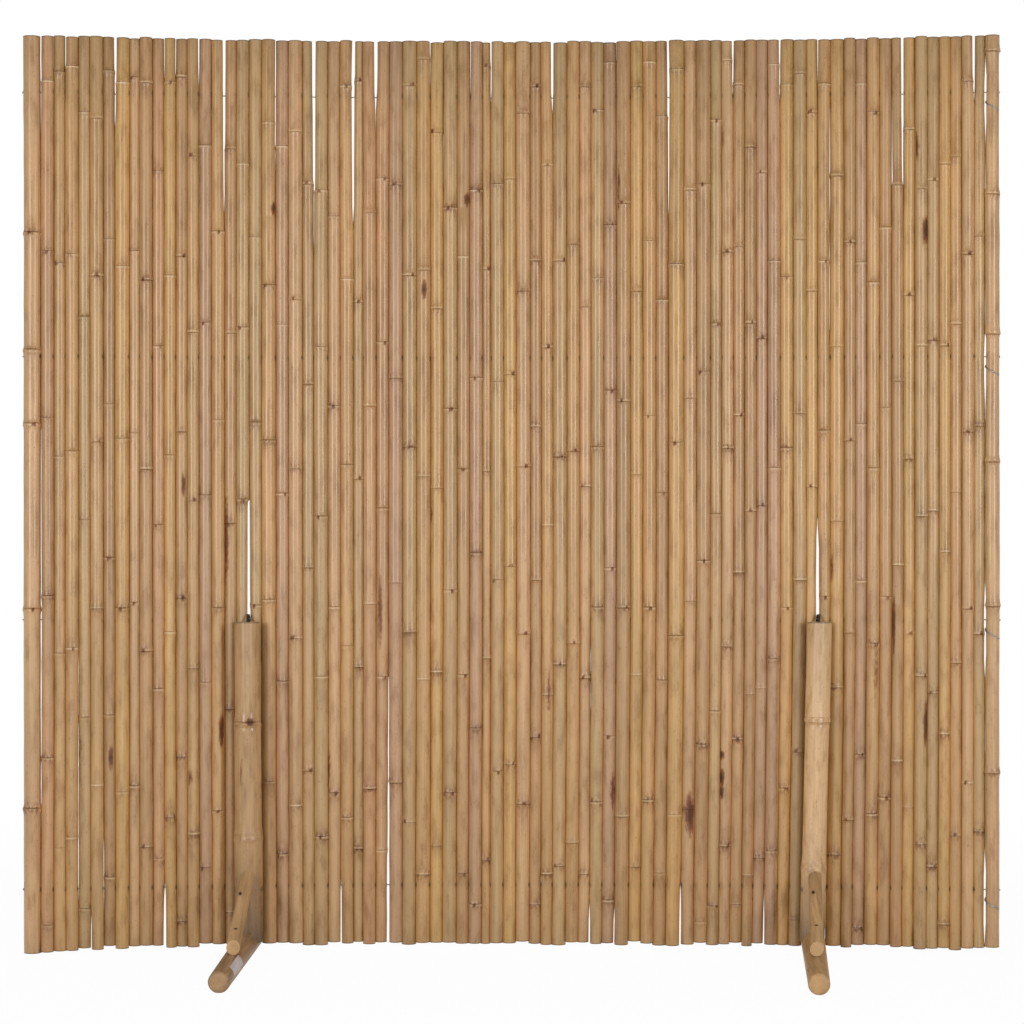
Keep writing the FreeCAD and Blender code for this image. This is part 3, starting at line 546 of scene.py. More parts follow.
def bamboo_skin():
    """Dried bamboo skin, hard with silica. It gives the eye a long soft gleam down each stalk, over
    golden tan with fine fibres, brown clouds at the nodes and a thin pale line of wax."""
    settings = bpy.context.scene.bamboo_skin
    material, tree = fresh_material("dried_bamboo_skin")
    stain = add(tree, "Attribute", attribute_name="tone", out="Alpha")
    near = add(tree, "Attribute", attribute_name="near", out="Vector")
    look = add(tree, "Attribute", attribute_name="look", out="Vector")
    above, below, seed = [add(tree, "SeparateXYZ", {0: near}, axis) for axis in "XYZ"]
    pale_here, brown_here, across = [add(tree, "SeparateXYZ", {0: look}, axis) for axis in "XYZ"]
    across = add(tree, "Math", {0: across}, operation="ABSOLUTE")
    place = add(tree, "TexCoord", out="Object")
    shift = add(tree, "CombineXYZ", {"X": 0.0, "Y": 0.0, "Z": seed})
    place = add(tree, "VectorMath", {0: place, 1: shift}, operation="ADD")
    skin = {}
    for name, (waves, detail) in SKIN_PATTERNS.items():
        stretched = add(tree, "Mapping", {"Vector": place, "Scale": waves})
        skin[name] = add(tree, "TexNoise", {"Vector": stretched, "Scale": 1.0, "Detail": detail}, "Fac")

    colour = add(tree, "Attribute", attribute_name="tone", out="Color")
    for name, share, *stops in SKIN_LAYERS:
        veil = add(tree, "ValToRGB", {"Fac": skin[name]}, stops=stops)
        colour = add(tree, "Mix", {"Factor": share, "A": colour, "B": veil}, **MULTIPLIED)

    # Painted light: the sides facing the next stalk are painted paler, lifting the shade in the creases
    painted_crease_light = add(tree, "ValToRGB", {"Fac": across}, stops=((0.55, grey(1.0)), (0.95, grey(1.22))))
    colour = add(tree, "Mix", {"Factor": 1.0, "A": colour, "B": painted_crease_light}, **MULTIPLIED)

    # Round a node: a brown cloud, a thin dark groove just below it and a pale waxy line above
    below = add(tree, "Math", {0: below, 1: NODE_REACH}, operation="DIVIDE")
    above = add(tree, "Math", {0: above, 1: NODE_REACH}, operation="DIVIDE")
    nearest = add(tree, "Math", {0: below, 1: above}, operation="MINIMUM")
    cloud = add(tree, "ValToRGB", {"Fac": nearest},
                stops=((0.0, grey(1.0)), (0.06, grey(0.85)), (0.16, grey(0.35)), (0.4, grey(0.0))))
    cloud = add(tree, "Math", {0: cloud, 1: brown_here}, operation="MULTIPLY")
    dirt = add(tree, "ValToRGB", {"Fac": skin["blots"]}, stops=((0.42, grey(0.15)), (0.58, grey(1.0))))
    cloud = add(tree, "Math", {0: cloud, 1: dirt}, operation="MULTIPLY")
    colour = add(tree, "Mix", {"Factor": cloud, "A": colour, "B": linear("#9A6A3C")}, **MULTIPLIED)
    groove = add(tree, "ValToRGB", {"Fac": below},
                 stops=((0.0, grey(1.0)), (0.01, grey(1.0)), (0.03, grey(0.0))))
    depth = add(tree, "Math", {0: brown_here, 1: 0.6, 2: 0.4}, operation="MULTIPLY_ADD")
    groove = add(tree, "Math", {0: groove, 1: depth}, operation="MULTIPLY")
    colour = add(tree, "Mix", {"Factor": groove, "A": colour, "B": linear("#6E4A2C")}, **MULTIPLIED)
    wax = add(tree, "ValToRGB", {"Fac": above},
              stops=((0.0, grey(0.3)), (0.012, grey(1.0)), (0.03, grey(0.7)), (0.06, grey(0.0))))
    wax = add(tree, "Math", {0: wax, 1: pale_here}, operation="MULTIPLY")
    colour = add(tree, "Mix", {"Factor": wax, "A": colour, "B": linear("#D8BE94")}, data_type="RGBA")

    # Painted shade: where a wire passes from stalk to stalk, the creased sides round it are painted
    # dark
    height = add(tree, "SeparateXYZ", {0: add(tree, "TexCoord", out="Object")}, "Z")
    height = add(tree, "Math", {0: height, 1: WIRE_SHADE_RAMP}, operation="DIVIDE")
    stops = [(0.0, grey(0.0))]
    for row in WIRE_ROWS:
        middle, reach = row * MM / WIRE_SHADE_RAMP, WIRE_SHADE_REACH * MM / WIRE_SHADE_RAMP
        stops += [(middle - reach, grey(0.0)), (middle, grey(1.0)), (middle + reach, grey(0.0))]
    rows = add(tree, "ValToRGB", {"Fac": height}, stops=stops)
    side = add(tree, "ValToRGB", {"Fac": across}, stops=((0.8, grey(0.0)), (0.92, grey(1.0))))
    painted_wire_shade = add(tree, "Math", {0: rows, 1: side}, operation="MULTIPLY")
    colour = add(tree, "Mix", {"Factor": painted_wire_shade, "A": colour, "B": linear("#20140C")}, data_type="RGBA")

    # Marks: an orange brown halo round a dark middle, drawn out along the fibres
    ragged = stain
    for name, size in MARK_RAGGED:
        ragged = add(tree, "Math", {0: skin[name], 1: size, 2: ragged}, operation="MULTIPLY_ADD")
    evened = sum(size for name, size in MARK_RAGGED) / 2
    ragged = add(tree, "Math", {0: ragged, 1: evened}, operation="SUBTRACT")
    marked = add(tree, "ValToRGB", {"Fac": stain}, stops=((0.0, grey(0.0)), (0.15, grey(1.0))))
    for start, end, code, way in ((0.05, 0.4, "#B4875A", "MULTIPLY"), (0.42, 0.85, "#4C2C14", "MIX")):
        stops = ((start, grey(0.0)), (end, grey(1.0)))
        share = add(tree, "ValToRGB", {"Fac": ragged}, stops=stops)
        share = add(tree, "Math", {0: share, 1: marked}, operation="MULTIPLY")
        colour = add(tree, "Mix", {"Factor": share, "A": colour, "B": linear(code)}, data_type="RGBA",
                     blend_type=way)

    rough = add(tree, "MapRange", {"Value": skin["patches"], "From Min": 0.3, "From Max": 0.75,
                                   "To Min": settings.roughness,
                                   "To Max": settings.roughness + WEATHERED_DULLER})
    rough = add(tree, "Math", {0: stain, 1: MARK_DULLER, 2: rough}, operation="MULTIPLY_ADD",
                use_clamp=True)
    lift = add(tree, "Bump", {"Height": skin["fibres"], "Strength": 0.15, "Distance": 0.0002})
    surface = add(tree, "BsdfPrincipled", {"Base Color": colour, "Roughness": rough, "IOR": 1.5,
                                           "Normal": lift})
    add(tree, "OutputMaterial", {"Surface": surface})
    return material


def cut_bamboo():
    """Sawn bamboo: pale dry fibre ends with dark pores 0.7 mm wide. It gives the eye no gleam."""
    material, tree = fresh_material("sawn_bamboo")
    place = add(tree, "Mapping", {"Vector": add(tree, "TexCoord", out="Object"),
                                  "Scale": (1400.0, 1400.0, 60.0)})
    pores = add(tree, "TexNoise", {"Vector": place, "Scale": 1.0, "Detail": 2.0}, "Fac")
    colour = add(tree, "ValToRGB", {"Fac": pores},
                 stops=((0.35, linear("#8E6F45")), (0.65, linear("#D6BC8A"))))
    surface = add(tree, "BsdfPrincipled", {"Base Color": colour, "Roughness": 0.85, "IOR": 1.5})
    add(tree, "OutputMaterial", {"Surface": surface})
    return material


def peeled_wood(name, slant, dark, light, end):
    """Peeled pole: dry wood that gives the eye long streaks along its grain and a dull satin, with a
    plain front end. The grain is 4 by 120 mm, its bands 20 by 70 mm and its pores 2 mm."""
    material, tree = fresh_material(name)
    place = add(tree, "TexCoord", out="Object")
    grains = []
    for size in ((0.004, 0.12, 0.004), (0.02, 0.07, 0.02), (0.002, 0.002, 0.002)):
        grain = add(tree, "Mapping", {"Vector": place, "Rotation": (slant, 0.0, 0.0), "Scale": size},
                    vector_type="TEXTURE")
        grains.append(add(tree, "TexNoise", {"Vector": grain, "Scale": 1.0, "Detail": 4.0}, "Fac"))
    colour = add(tree, "ValToRGB", {"Fac": grains[0]},
                 stops=((0.32, linear(dark)), (0.68, linear(light))))
    facing = add(tree, "SeparateXYZ", {0: add(tree, "NewGeometry", out="Normal")}, "Y")
    front = add(tree, "MapRange", {"Value": facing, "From Min": -0.7, "From Max": -0.92})
    colour = add(tree, "Mix", {"Factor": front, "A": colour, "B": linear(end)}, data_type="RGBA")
    for pattern, low in ((grains[1], 0.78), (grains[2], 0.86)):
        veil = add(tree, "ValToRGB", {"Fac": pattern}, stops=((0.32, grey(low)), (0.64, grey(1.06))))
        colour = add(tree, "Mix", {"Factor": 1.0, "A": colour, "B": veil}, **MULTIPLIED)
    lift = add(tree, "Bump", {"Height": grains[0], "Strength": 0.3, "Distance": 0.0005})
    surface = add(tree, "BsdfPrincipled", {"Base Color": colour, "Roughness": 0.55, "IOR": 1.5,
                                           "Normal": lift})
    add(tree, "OutputMaterial", {"Surface": surface})
    return material


def drawn_metal(name, colour, roughness):
    """Drawn wire. It gives the eye a soft grey gleam, with dull blotches of 2.5 mm in its coat."""
    material, tree = fresh_material(name)
    place = add(tree, "TexCoord", out="Object")
    blotches = add(tree, "TexNoise", {"Vector": place, "Scale": 400.0, "Detail": 3.0}, "Fac")
    dull = add(tree, "ValToRGB", {"Fac": blotches}, stops=((0.3, grey(0.75)), (0.7, grey(1.1))))
    colour = add(tree, "Mix", {"Factor": 1.0, "A": colour, "B": dull}, **MULTIPLIED)
    surface = add(tree, "BsdfPrincipled", {"Base Color": colour, "Metallic": 1.0,
                                           "Roughness": roughness})
    add(tree, "OutputMaterial", {"Surface": surface})
    return material


def black_coat():
    """Black plastic coat on wire. It gives the eye a small satin gleam, with rubbed spots of 2 mm."""
    material, tree = fresh_material("black_coated_wire")
    place = add(tree, "TexCoord", out="Object")
    wear = add(tree, "TexNoise", {"Vector": place, "Scale": 500.0, "Detail": 3.0}, "Fac")
    colour = add(tree, "ValToRGB", {"Fac": wear},
                 stops=((0.3, linear("#17181A")), (0.75, linear("#2A2B2D"))))
    surface = add(tree, "BsdfPrincipled", {"Base Color": colour, "Roughness": 0.45, "IOR": 1.5})
    add(tree, "OutputMaterial", {"Surface": surface})
    return material


def label_paper(light):
    """Uncoated paper. It gives the eye a flat pale grey, soiled in patches of 11 mm."""
    material, tree = fresh_material("uncoated_paper")
    place = add(tree, "TexCoord", out="Object")
    fibre = add(tree, "TexNoise", {"Vector": place, "Scale": 90.0, "Detail": 5.0}, "Fac")
    soiled = add(tree, "ValToRGB", {"Fac": fibre}, stops=((0.35, grey(0.8)), (0.6, grey(1.0))))
    colour = add(tree, "Mix", {"Factor": 1.0, "A": light, "B": soiled}, **MULTIPLIED)
    surface = add(tree, "BsdfPrincipled", {"Base Color": colour, "Roughness": 0.8, "IOR": 1.5})
    add(tree, "OutputMaterial", {"Surface": surface})
    return material


def deselect():
    """Leaves edit mode, with nothing selected."""
    if bpy.context.mode != "OBJECT":
        bpy.ops.object.mode_set(mode="OBJECT")
    bpy.ops.object.select_all(action="DESELECT")


def take(obj):
    """Makes an object the only selected one, and active."""
    deselect()
    obj.select_set(True)
    bpy.context.view_layer.objects.active = obj


def stalks(name, lines, sides):
    """One mesh of round stalks, each a disc at its lower end that is drawn up from ring to ring."""
    deselect()
    for index, line in enumerate(lines):
        if index:
            bpy.ops.mesh.select_all(action="DESELECT")
        foot, radius = line[0]
        bpy.ops.mesh.primitive_circle_add(vertices=sides, radius=radius * MM, fill_type="NGON",
                                          location=foot * MM)
        if not index:
            piece = bpy.context.object
            piece.name = name
            bpy.ops.object.transform_apply(location=True, rotation=False, scale=False)
            bpy.ops.object.mode_set(mode="EDIT")
            bpy.ops.mesh.select_all(action="SELECT")
        for (low, before), (high, after) in zip(line, line[1:]):
            bpy.ops.mesh.extrude_region_move(TRANSFORM_OT_translate={"value": (high - low) * MM})
            wider = after / before
            bpy.ops.transform.resize(value=(wider, wider, 1.0), center_override=high * MM)
    bpy.ops.mesh.select_all(action="SELECT")
    bpy.ops.mesh.normals_make_consistent(inside=False)
    bpy.ops.object.mode_set(mode="OBJECT")
    return piece


def hollow(piece, wall, depth, upwards):
    """Sinks the flat ends that face up or down, leaving a wall round each."""
    take(piece)
    bpy.ops.object.mode_set(mode="EDIT")
    bpy.ops.mesh.select_mode(type="FACE")
    bpy.ops.mesh.select_all(action="DESELECT")
    bpy.ops.object.mode_set(mode="OBJECT")
    for face in piece.data.polygons:
        end = len(face.vertices) > 4
        face.select = end and (face.normal.z > 0) == upwards
        if face.select:
            face.material_index = 1
    bpy.ops.object.mode_set(mode="EDIT")
    bpy.ops.mesh.inset(thickness=wall * MM)
    step = -depth if upwards else depth
    bpy.ops.mesh.extrude_region_move(TRANSFORM_OT_translate={"value": (0.0, 0.0, step * MM)})
    bpy.ops.object.mode_set(mode="OBJECT")


def smooth(piece):
    """Shades a piece smooth but for its sharp edges."""
    take(piece)
    bpy.ops.object.shade_smooth_by_angle(angle=SHARP_ANGLE)


def slit(cane, other, height):
    """How wide the sight between two neighbours is at a height, where it isn't meant to be open."""
    if opening(min(cane.number, other.number), height, SIGHT_OPENINGS) > OPEN_SIGHT:
        return 0.0
    across = abs(other.point_at(height).x - cane.point_at(height).x)
    wide = across - cane.radius_at(height) - other.radius_at(height)
    return min(SLIT_MOST, max(0.0, wide + SLIT_OVERLAP))


def cane_line(cane, looks, ridge):
    """Points and radii of a cane from its lower end to its upper end, with its nodes' ridges."""
    bottom, top = cane.heights[0], cane.heights[-1]
    bottom = CUT_OVER_FOOT.get(cane.number, bottom)
    stations = {height: 0.0 for height in (bottom, bottom + END_EDGE, top - END_EDGE, top)}
    for node, height_share in zip(cane.nodes, cane.ridges):
        for rise, swell in NODE_OUTLINE:
            if bottom < node + rise * cane.way < top:
                stations[node + rise * cane.way] = swell * height_share * ridge
    for low, high in zip(cane.heights, cane.heights[1:]):
        steps = round((high - low) / SKIN_STEP)
        for step in range(1, steps):
            height = mix(low, high, step / steps)
            if bottom < height < top and min(abs(height - node) for node in cane.nodes) > NODE_CLEAR:
                stations[height] = None
    for _, z, half, _, _ in cane.marks:
        for height in [z + share * half for share in MARK_RINGS]:
            clear = min(abs(height - node) for node in cane.nodes) > NODE_CLEAR
            if clear and bottom < height < top:
                stations.setdefault(height, 0.0)
    line = []
    for height in sorted(stations):
        swell = stations[height]
        spot = cane.point_at(height)
        if swell is None:
            swell = looks.uniform(-UNEVEN_ROUND, UNEVEN_ROUND)
            spot += Vector((looks.uniform(-UNEVEN_ACROSS, UNEVEN_ACROSS),
                            looks.uniform(-UNEVEN_DEEP, UNEVEN_DEEP), 0.0))
        level = min(max(height, bottom + END_EDGE), top - END_EDGE)
        on_left = slit(cane, CANES[cane.number - 2], level) if cane.number > 1 else 0.0
        on_right = slit(cane, CANES[cane.number], level) if cane.number < len(CANES) else 0.0
        spot.x += (on_right - on_left) / 4
        line.append((spot, cane.radius_at(height) + (on_left + on_right) / 4 + SKIN_FULLER + swell))
    return line


def post_line(post, ridge):
    """Points and radii of a post from its lower end to its cut top, with its nodes' ridges."""
    stations = {height: 0.0 for height in (post.low.z, post.high.z - END_EDGE, post.high.z)}
    for node in post.nodes:
        for rise, swell in POST_NODE_OUTLINE:
            stations[node + rise] = swell * ridge
    for _, z, half, _, _ in post.marks:
        for height in (z - half, z, z + half):
            stations.setdefault(height, 0.0)
    return [(post.point_at(height), post.radius_at(height) + stations[height])
            for height in sorted(stations)]


def number_at(x, z):
    """Number of the cane that stands at x at a height."""
    return min(CANES, key=lambda cane: abs(cane.point_at(z).x - WALL_MIDDLE.x - x)).number


def paint(piece, stems):
    """Writes on each point of a mesh its tone and mark, how near nodes are, and how they look."""
    tones = bpy.context.scene.bamboo_tones
    mesh = piece.data
    tone = mesh.attributes.new("tone", "FLOAT_COLOR", "POINT")
    near = mesh.attributes.new("near", "FLOAT_VECTOR", "POINT")
    look = mesh.attributes.new("look", "FLOAT_VECTOR", "POINT")
    for index, vertex in enumerate(mesh.vertices):
        x, y, height = vertex.co / MM
        stem = min(stems, key=lambda s: abs(s.point_at(height).x - x))
        middle = stem.point_at(height)
        under = [height - node for node in stem.nodes if node <= height + AT_NODE]
        over = [node - height for node in stem.nodes if node >= height - AT_NODE]
        above, below = min([NODE_REACH] + under), min([NODE_REACH] + over)
        if stem.way < 0:
            above, below = below, above
        stain = 0.0
        if y < middle.y:
            for place, z, half, wide, dark in stem.marks:
                reach = math.hypot((height - z) / half, (x - middle.x - place) / wide)
                stain = max(stain, dark * (1.0 - reach))
        closest = min(range(len(stem.nodes)), key=lambda i: abs(stem.nodes[i] - height))
        pale, brown = stem.looks[closest]
        # The skin is darker over a stretch towards each end, darkest in a thin rim at the very end
        from_end = min(height - stem.ends[0] + END_REACH / 2, stem.ends[1] - height)
        end_darkening = mix(END_DARKENING, 1.0, min(1.0, max(0.0, from_end / END_REACH)))
        if min(abs(height - end) for end in stem.ends) < END_EDGE / 2:
            end_darkening *= END_SHADE
        across = (x - middle.x) / (stem.radius_at(height) + SKIN_FULLER)
        tone.data[index].color = tuple(v * end_darkening for v in getattr(tones, stem.tone)) + (stain,)
        near.data[index].vector = (above, below, stem.number * PATTERN_STEP)
        look.data[index].vector = (pale, brown, across)


def choose_looks(canes):
    """Which way up each cane grew, its tone and marks, and the ridge, wax and brown of each node."""
    looks = random.Random(SEED)
    for cane in canes:
        cane.way = looks.choice((-1, 1))
        cane.tone = TONE_NAMES[CANE_TONES[cane.number - 1]]
        cane.ends = (CUT_OVER_FOOT.get(cane.number, cane.heights[0]), cane.heights[-1])
        cane.looks, cane.ridges, cane.marks = [], [], []
        for node in cane.nodes:
            wax = NODE_LEAST + looks.random() ** WAX_POWER * NODE_WAX
            brown = NODE_LEAST + looks.random() ** BROWN_POWER * mix(*NODE_BROWN, node / TOP_HEIGHT)
            cane.looks.append((wax, brown))
            cane.ridges.append(looks.uniform(*RIDGE_SPREAD))
            aside = looks.uniform(-SCAR_ASIDE, SCAR_ASIDE) * cane.radii[0]
            if looks.random() < SCAR_SHARE:
                cane.marks.append((aside, node + SCAR_RISE * cane.way) + SCAR)
    for outer in (canes[0], canes[-1]):
        outer.ridges = [OUTER_RIDGE] * len(outer.nodes)
    for x, z, half, wide, dark in MARKS:
        cane = canes[number_at(x, z) - 1]
        cane.marks.append((x + WALL_MIDDLE.x - cane.point_at(z).x, z, half, wide, dark))


CANES = stand_canes()
choose_looks(CANES)


def finish_node(name, material):
    """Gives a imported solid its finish."""
    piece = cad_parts[name]
    piece.data.materials.clear()
    piece.data.materials.append(material)


def colour_setting(name, description, code):
    """A colour in the panel, its default written as sRGB hex."""
    return bpy.props.FloatVectorProperty(name=name, description=description, subtype="COLOR",
                                         default=linear(code)[:3])


class ToneSettings(bpy.types.PropertyGroup):
    tan: colour_setting("Tan", "Skin of the plain canes", "#AE8A5C")
    golden: colour_setting("Golden", "Skin of the yellowest canes", "#B48E59")
    honey: colour_setting("Honey", "Skin of the warm canes", "#B18A5B")
    brown: colour_setting("Brown", "Skin of the browner canes", "#A88359")
    russet: colour_setting("Russet", "Skin of the reddish canes", "#AE865E")
    pale: colour_setting("Pale", "Skin of the palest canes", "#B48F66")
    rosy: colour_setting("Rosy", "Skin of the greyish pink canes", "#AA8664")
    olive: colour_setting("Olive", "Skin of the faintly green canes", "#AB8B60")
    dark: colour_setting("Dark", "Skin of the darkest canes", "#A27D54")
    left_post: colour_setting("Left post", "Skin of the left post", "#AA865C")
    right_post: colour_setting("Right post", "Skin of the right post", "#C4A177")


class SkinSettings(bpy.types.PropertyGroup):
    roughness: bpy.props.FloatProperty(
        name="Roughness", description="How dull the bamboo's skin is", subtype="FACTOR", default=0.25,
        min=0.05, max=0.8)
    cane_ridge: bpy.props.FloatProperty(
        name="Cane ridge", description="How far a cane's nodes stand out", unit="LENGTH",
        default=1.05 * MM, min=0.0, max=2.0 * MM, precision=4)
    post_ridge: bpy.props.FloatProperty(
        name="Post ridge", description="How far a post's nodes stand out", unit="LENGTH",
        default=1.7 * MM, min=0.0, max=4.0 * MM, precision=4)
    open_end: bpy.props.FloatProperty(
        name="Open end", description="How deep the upper ends of the canes are open", unit="LENGTH",
        default=60 * MM, min=5 * MM, precision=3)


class FittingSettings(bpy.types.PropertyGroup):
    wire: colour_setting("Wire", "Zinc of the four rows of wire", "#A3A29D")
    nail: colour_setting("Nail", "Dulled steel of the nails", "#3E3630")
    paper: colour_setting("Label", "Paper of the blank label", "#CFC8C9")


class StageSettings(bpy.types.PropertyGroup):
    lamp_power: bpy.props.FloatProperty(
        name="Lamps", description="Power of each strip lamp", subtype="POWER", default=28.0, min=0.0)
    front_power: bpy.props.FloatProperty(
        name="Front lamp", description="Power of the broad lamp in front", subtype="POWER",
        default=11.0, min=0.0)
    lamp_height: bpy.props.FloatProperty(
        name="Lamp height", description="Height of the middle of the strip lamps", unit="LENGTH",
        default=1.08)
    fill: bpy.props.FloatProperty(
        name="Fill", description="Strength of the light from all round", default=0.47, min=0.0,
        max=1.0)
    lens: bpy.props.FloatProperty(
        name="Lens", description="Focal length of the camera", subtype="DISTANCE_CAMERA",
        default=91.4)


class BAMBOO_OT_canes(bpy.types.Operator):
    """Models the wall's canes two by two, and hides their plain solids"""
    bl_idname = "bamboo.canes"
    bl_label = "Canes"

    def execute(self, context):
        settings = context.scene.bamboo_skin
        looks = random.Random(SEED)
        skin, cut = bamboo_skin(), cut_bamboo()
        depth = settings.open_end / MM
        for first in range(0, len(CANES), CANES_IN_A_NODE):
            pair = CANES[first:first + CANES_IN_A_NODE]
            numbers = "%02d_%02d" % (pair[0].number, pair[-1].number)
            lines = [cane_line(cane, looks, settings.cane_ridge / MM) for cane in pair]
            piece = stalks("dressed_canes_" + numbers, lines, CANE_SIDES)
            piece.data.materials.append(skin)
            piece.data.materials.append(cut)
            hollow(piece, CANE_WALL, depth, True)
            hollow(piece, CANE_WALL, depth * LOWER_END_SHARE, False)
            smooth(piece)
            paint(piece, pair)
            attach(piece, "root")
            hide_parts("canes_" + numbers)
        return {"FINISHED"}


class BAMBOO_OT_posts(bpy.types.Operator):
    """Models the two posts, and hides their plain solids"""
    bl_idname = "bamboo.posts"
    bl_label = "Posts"

    def execute(self, context):
        skin = bpy.data.materials.get("dried_bamboo_skin") or bamboo_skin()
        cut = bpy.data.materials.get("sawn_bamboo") or cut_bamboo()
        ridge = context.scene.bamboo_skin.post_ridge / MM
        for post in POSTS:
            piece = stalks("dressed_" + post.name, [post_line(post, ridge)], POST_SIDES)
            piece.data.materials.append(skin)
            piece.data.materials.append(cut)
            hollow(piece, POST_WALL, POST_OPEN, True)
            smooth(piece)
            paint(piece, [post])
            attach(piece, "root")
            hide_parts(post.name)
        return {"FINISHED"}


class BAMBOO_OT_feet(bpy.types.Operator):
    """Finishes the two feet"""
    bl_idname = "bamboo.feet"
    bl_label = "Feet"

    def execute(self, context):
        for side, dark, light, end in FOOT_TONES:
            finish_node(side + "_foot", peeled_wood("peeled_pole_" + side, 0.0, dark, light, end))
        return {"FINISHED"}


class BAMBOO_OT_braces(bpy.types.Operator):
    """Finishes the two braces"""
    bl_idname = "bamboo.braces"
    bl_label = "Braces"

    def execute(self, context):
        stick = peeled_wood("peeled_stick", BRACE_SLANT, *BRACE_TONES)
        for side in ("left", "right"):
            finish_node(side + "_brace", stick)
        return {"FINISHED"}


class BAMBOO_OT_wires(bpy.types.Operator):
    """Finishes the four rows of wire"""
    bl_idname = "bamboo.wires"
    bl_label = "Wires"

    def execute(self, context):
        colour = tuple(context.scene.bamboo_fittings.wire) + (1.0,)
        zinc = drawn_metal("galvanised_wire", colour, WIRE_ROUGHNESS)
        for row in range(1, len(WIRE_ROWS) + 1):
            finish_node("wire_row_%d" % row, zinc)
        return {"FINISHED"}


class BAMBOO_OT_ties(bpy.types.Operator):
    """Finishes the posts' two ties"""
    bl_idname = "bamboo.ties"
    bl_label = "Ties"

    def execute(self, context):
        black = black_coat()
        for side in ("left", "right"):
            finish_node(side + "_tie", black)
        return {"FINISHED"}


class BAMBOO_OT_nails(bpy.types.Operator):
    """Finishes the braces' four nails"""
    bl_idname = "bamboo.nails"
    bl_label = "Nails"

    def execute(self, context):
        colour = tuple(context.scene.bamboo_fittings.nail) + (1.0,)
        finish_node("brace_nails", drawn_metal("dulled_nail", colour, NAIL_ROUGHNESS))
        return {"FINISHED"}


class BAMBOO_OT_label(bpy.types.Operator):
    """Finishes the blank label on the left foot"""
    bl_idname = "bamboo.label"
    bl_label = "Label"

    def execute(self, context):
        colour = tuple(context.scene.bamboo_fittings.paper) + (1.0,)
        finish_node("blank_label", label_paper(colour))
        return {"FINISHED"}


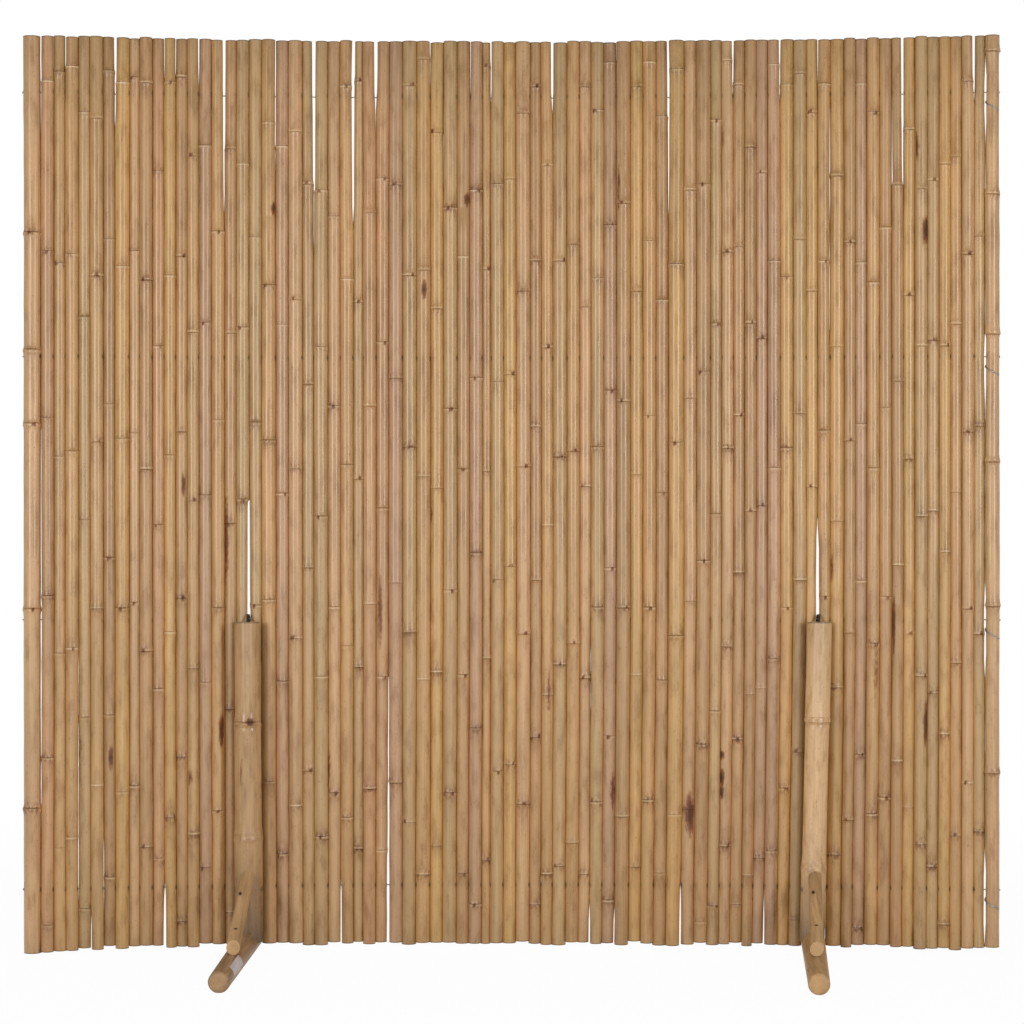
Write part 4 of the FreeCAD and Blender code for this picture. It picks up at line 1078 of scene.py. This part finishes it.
class BAMBOO_OT_stage(bpy.types.Operator):
    """Sets up a pale floor, soft lamps and the camera"""
    bl_idname = "bamboo.stage"
    bl_label = "Stage"

    def execute(self, context):
        settings = context.scene.bamboo_stage
        deselect()
        bpy.ops.mesh.primitive_plane_add(size=FLOOR_SIZE, location=(0.0, 0.0, 0.0))
        floor = context.object
        floor.name = "stage_floor"
        material, tree = fresh_material("pale_floor")
        seen = add(tree, "LightPath", out="Is Camera Ray")
        for ray in ("Is Glossy Ray", "Is Transmission Ray"):
            seen = add(tree, "Math", {0: seen, 1: add(tree, "LightPath", out=ray)}, operation="MAXIMUM")
        place = add(tree, "TexCoord", out="Object")
        far = add(tree, "VectorMath", {0: place}, "Value", operation="LENGTH")
        glow = add(tree, "MapRange", {"Value": far, "From Min": FLOOR_NEAR, "From Max": FLOOR_FAR,
                                      "To Min": FLOOR_GLOW, "To Max": 1.0})
        matt = add(tree, "BsdfDiffuse", {"Color": grey(FLOOR_GREY)})
        light = add(tree, "Emission", {"Color": grey(1.0), "Strength": 1.0})
        share = add(tree, "Math", {0: seen, 1: glow}, operation="MULTIPLY")
        surface = add(tree, "MixShader", {0: share, 1: matt, 2: light})
        add(tree, "OutputMaterial", {"Surface": surface})
        floor.data.materials.append(material)

        world = bpy.data.worlds.new("pale_room")
        context.scene.world = world
        world.use_nodes = True
        tree = world.node_tree
        tree.nodes.clear()
        seen = add(tree, "Math", {0: add(tree, "LightPath", out="Is Camera Ray"),
                                  1: add(tree, "LightPath", out="Is Transmission Ray")},
                   operation="MAXIMUM")
        strength = add(tree, "MapRange", {"Value": seen, "To Min": settings.fill, "To Max": 1.0})
        sky = add(tree, "Background", {"Color": grey(1.0), "Strength": strength})
        add(tree, "OutputWorld", {"Surface": sky})

        lamps = (
            ("left_strip_lamp", -LAMP_ANGLE, settings.lamp_height, LAMP_SIZE, settings.lamp_power),
            ("right_strip_lamp", LAMP_ANGLE, settings.lamp_height, LAMP_SIZE, settings.lamp_power),
            ("front_lamp", 0.0, FRONT_LAMP_HEIGHT, FRONT_LAMP_SIZE, settings.front_power),
        )
        for name, turn, height, size, power in lamps:
            angle = math.radians(turn)
            aim = Vector((0.0, LAMP_AIM_DEPTH, height))
            spot = aim + Vector((math.sin(angle), -math.cos(angle), 0.0)) * LAMP_DISTANCE
            bpy.ops.object.light_add(type="AREA", location=spot)
            holder = context.object
            holder.name = name
            holder.rotation_euler = (aim - spot).to_track_quat("-Z", "Y").to_euler()
            holder.data.shape = "RECTANGLE"
            holder.data.size, holder.data.size_y = size
            holder.data.energy = power

        bpy.ops.object.camera_add(location=CAMERA_PLACE, rotation=(math.radians(90.0), 0.0, 0.0))
        camera = context.object
        camera.name = "photo_camera"
        camera.data.lens = settings.lens
        context.scene.camera = camera
        context.scene.view_settings.view_transform = "Standard"
        return {"FINISHED"}


STEPS = (
    BAMBOO_OT_canes, BAMBOO_OT_posts, BAMBOO_OT_feet, BAMBOO_OT_braces, BAMBOO_OT_wires, BAMBOO_OT_ties,
    BAMBOO_OT_nails, BAMBOO_OT_label, BAMBOO_OT_stage,
)
SETTINGS = {
    "bamboo_tones": ToneSettings, "bamboo_skin": SkinSettings, "bamboo_fittings": FittingSettings,
    "bamboo_stage": StageSettings,
}


class BAMBOO_PT_panel(bpy.types.Panel):
    bl_label = "Bamboo fence panel"
    bl_idname = "BAMBOO_PT_panel"
    bl_space_type = "VIEW_3D"
    bl_region_type = "UI"
    bl_category = "Bamboo"

    def draw(self, context):
        for group, kind in SETTINGS.items():
            for name in kind.__annotations__:
                self.layout.prop(getattr(context.scene, group), name)
        for step in STEPS:
            self.layout.operator(step.bl_idname)


CLASSES = tuple(SETTINGS.values()) + STEPS + (BAMBOO_PT_panel,)


def register():
    for cls in CLASSES:
        bpy.utils.register_class(cls)
    for group, kind in SETTINGS.items():
        setattr(bpy.types.Scene, group, bpy.props.PointerProperty(type=kind))


def unregister():
    for group in SETTINGS:
        delattr(bpy.types.Scene, group)
    for cls in reversed(CLASSES):
        bpy.utils.unregister_class(cls)


def main():
    register()
    bpy.ops.bamboo.canes()
    bpy.ops.bamboo.posts()
    bpy.ops.bamboo.feet()
    bpy.ops.bamboo.braces()
    bpy.ops.bamboo.wires()
    bpy.ops.bamboo.ties()
    bpy.ops.bamboo.nails()
    bpy.ops.bamboo.label()
    bpy.ops.bamboo.stage()


if __name__ == "__main__":
    main()
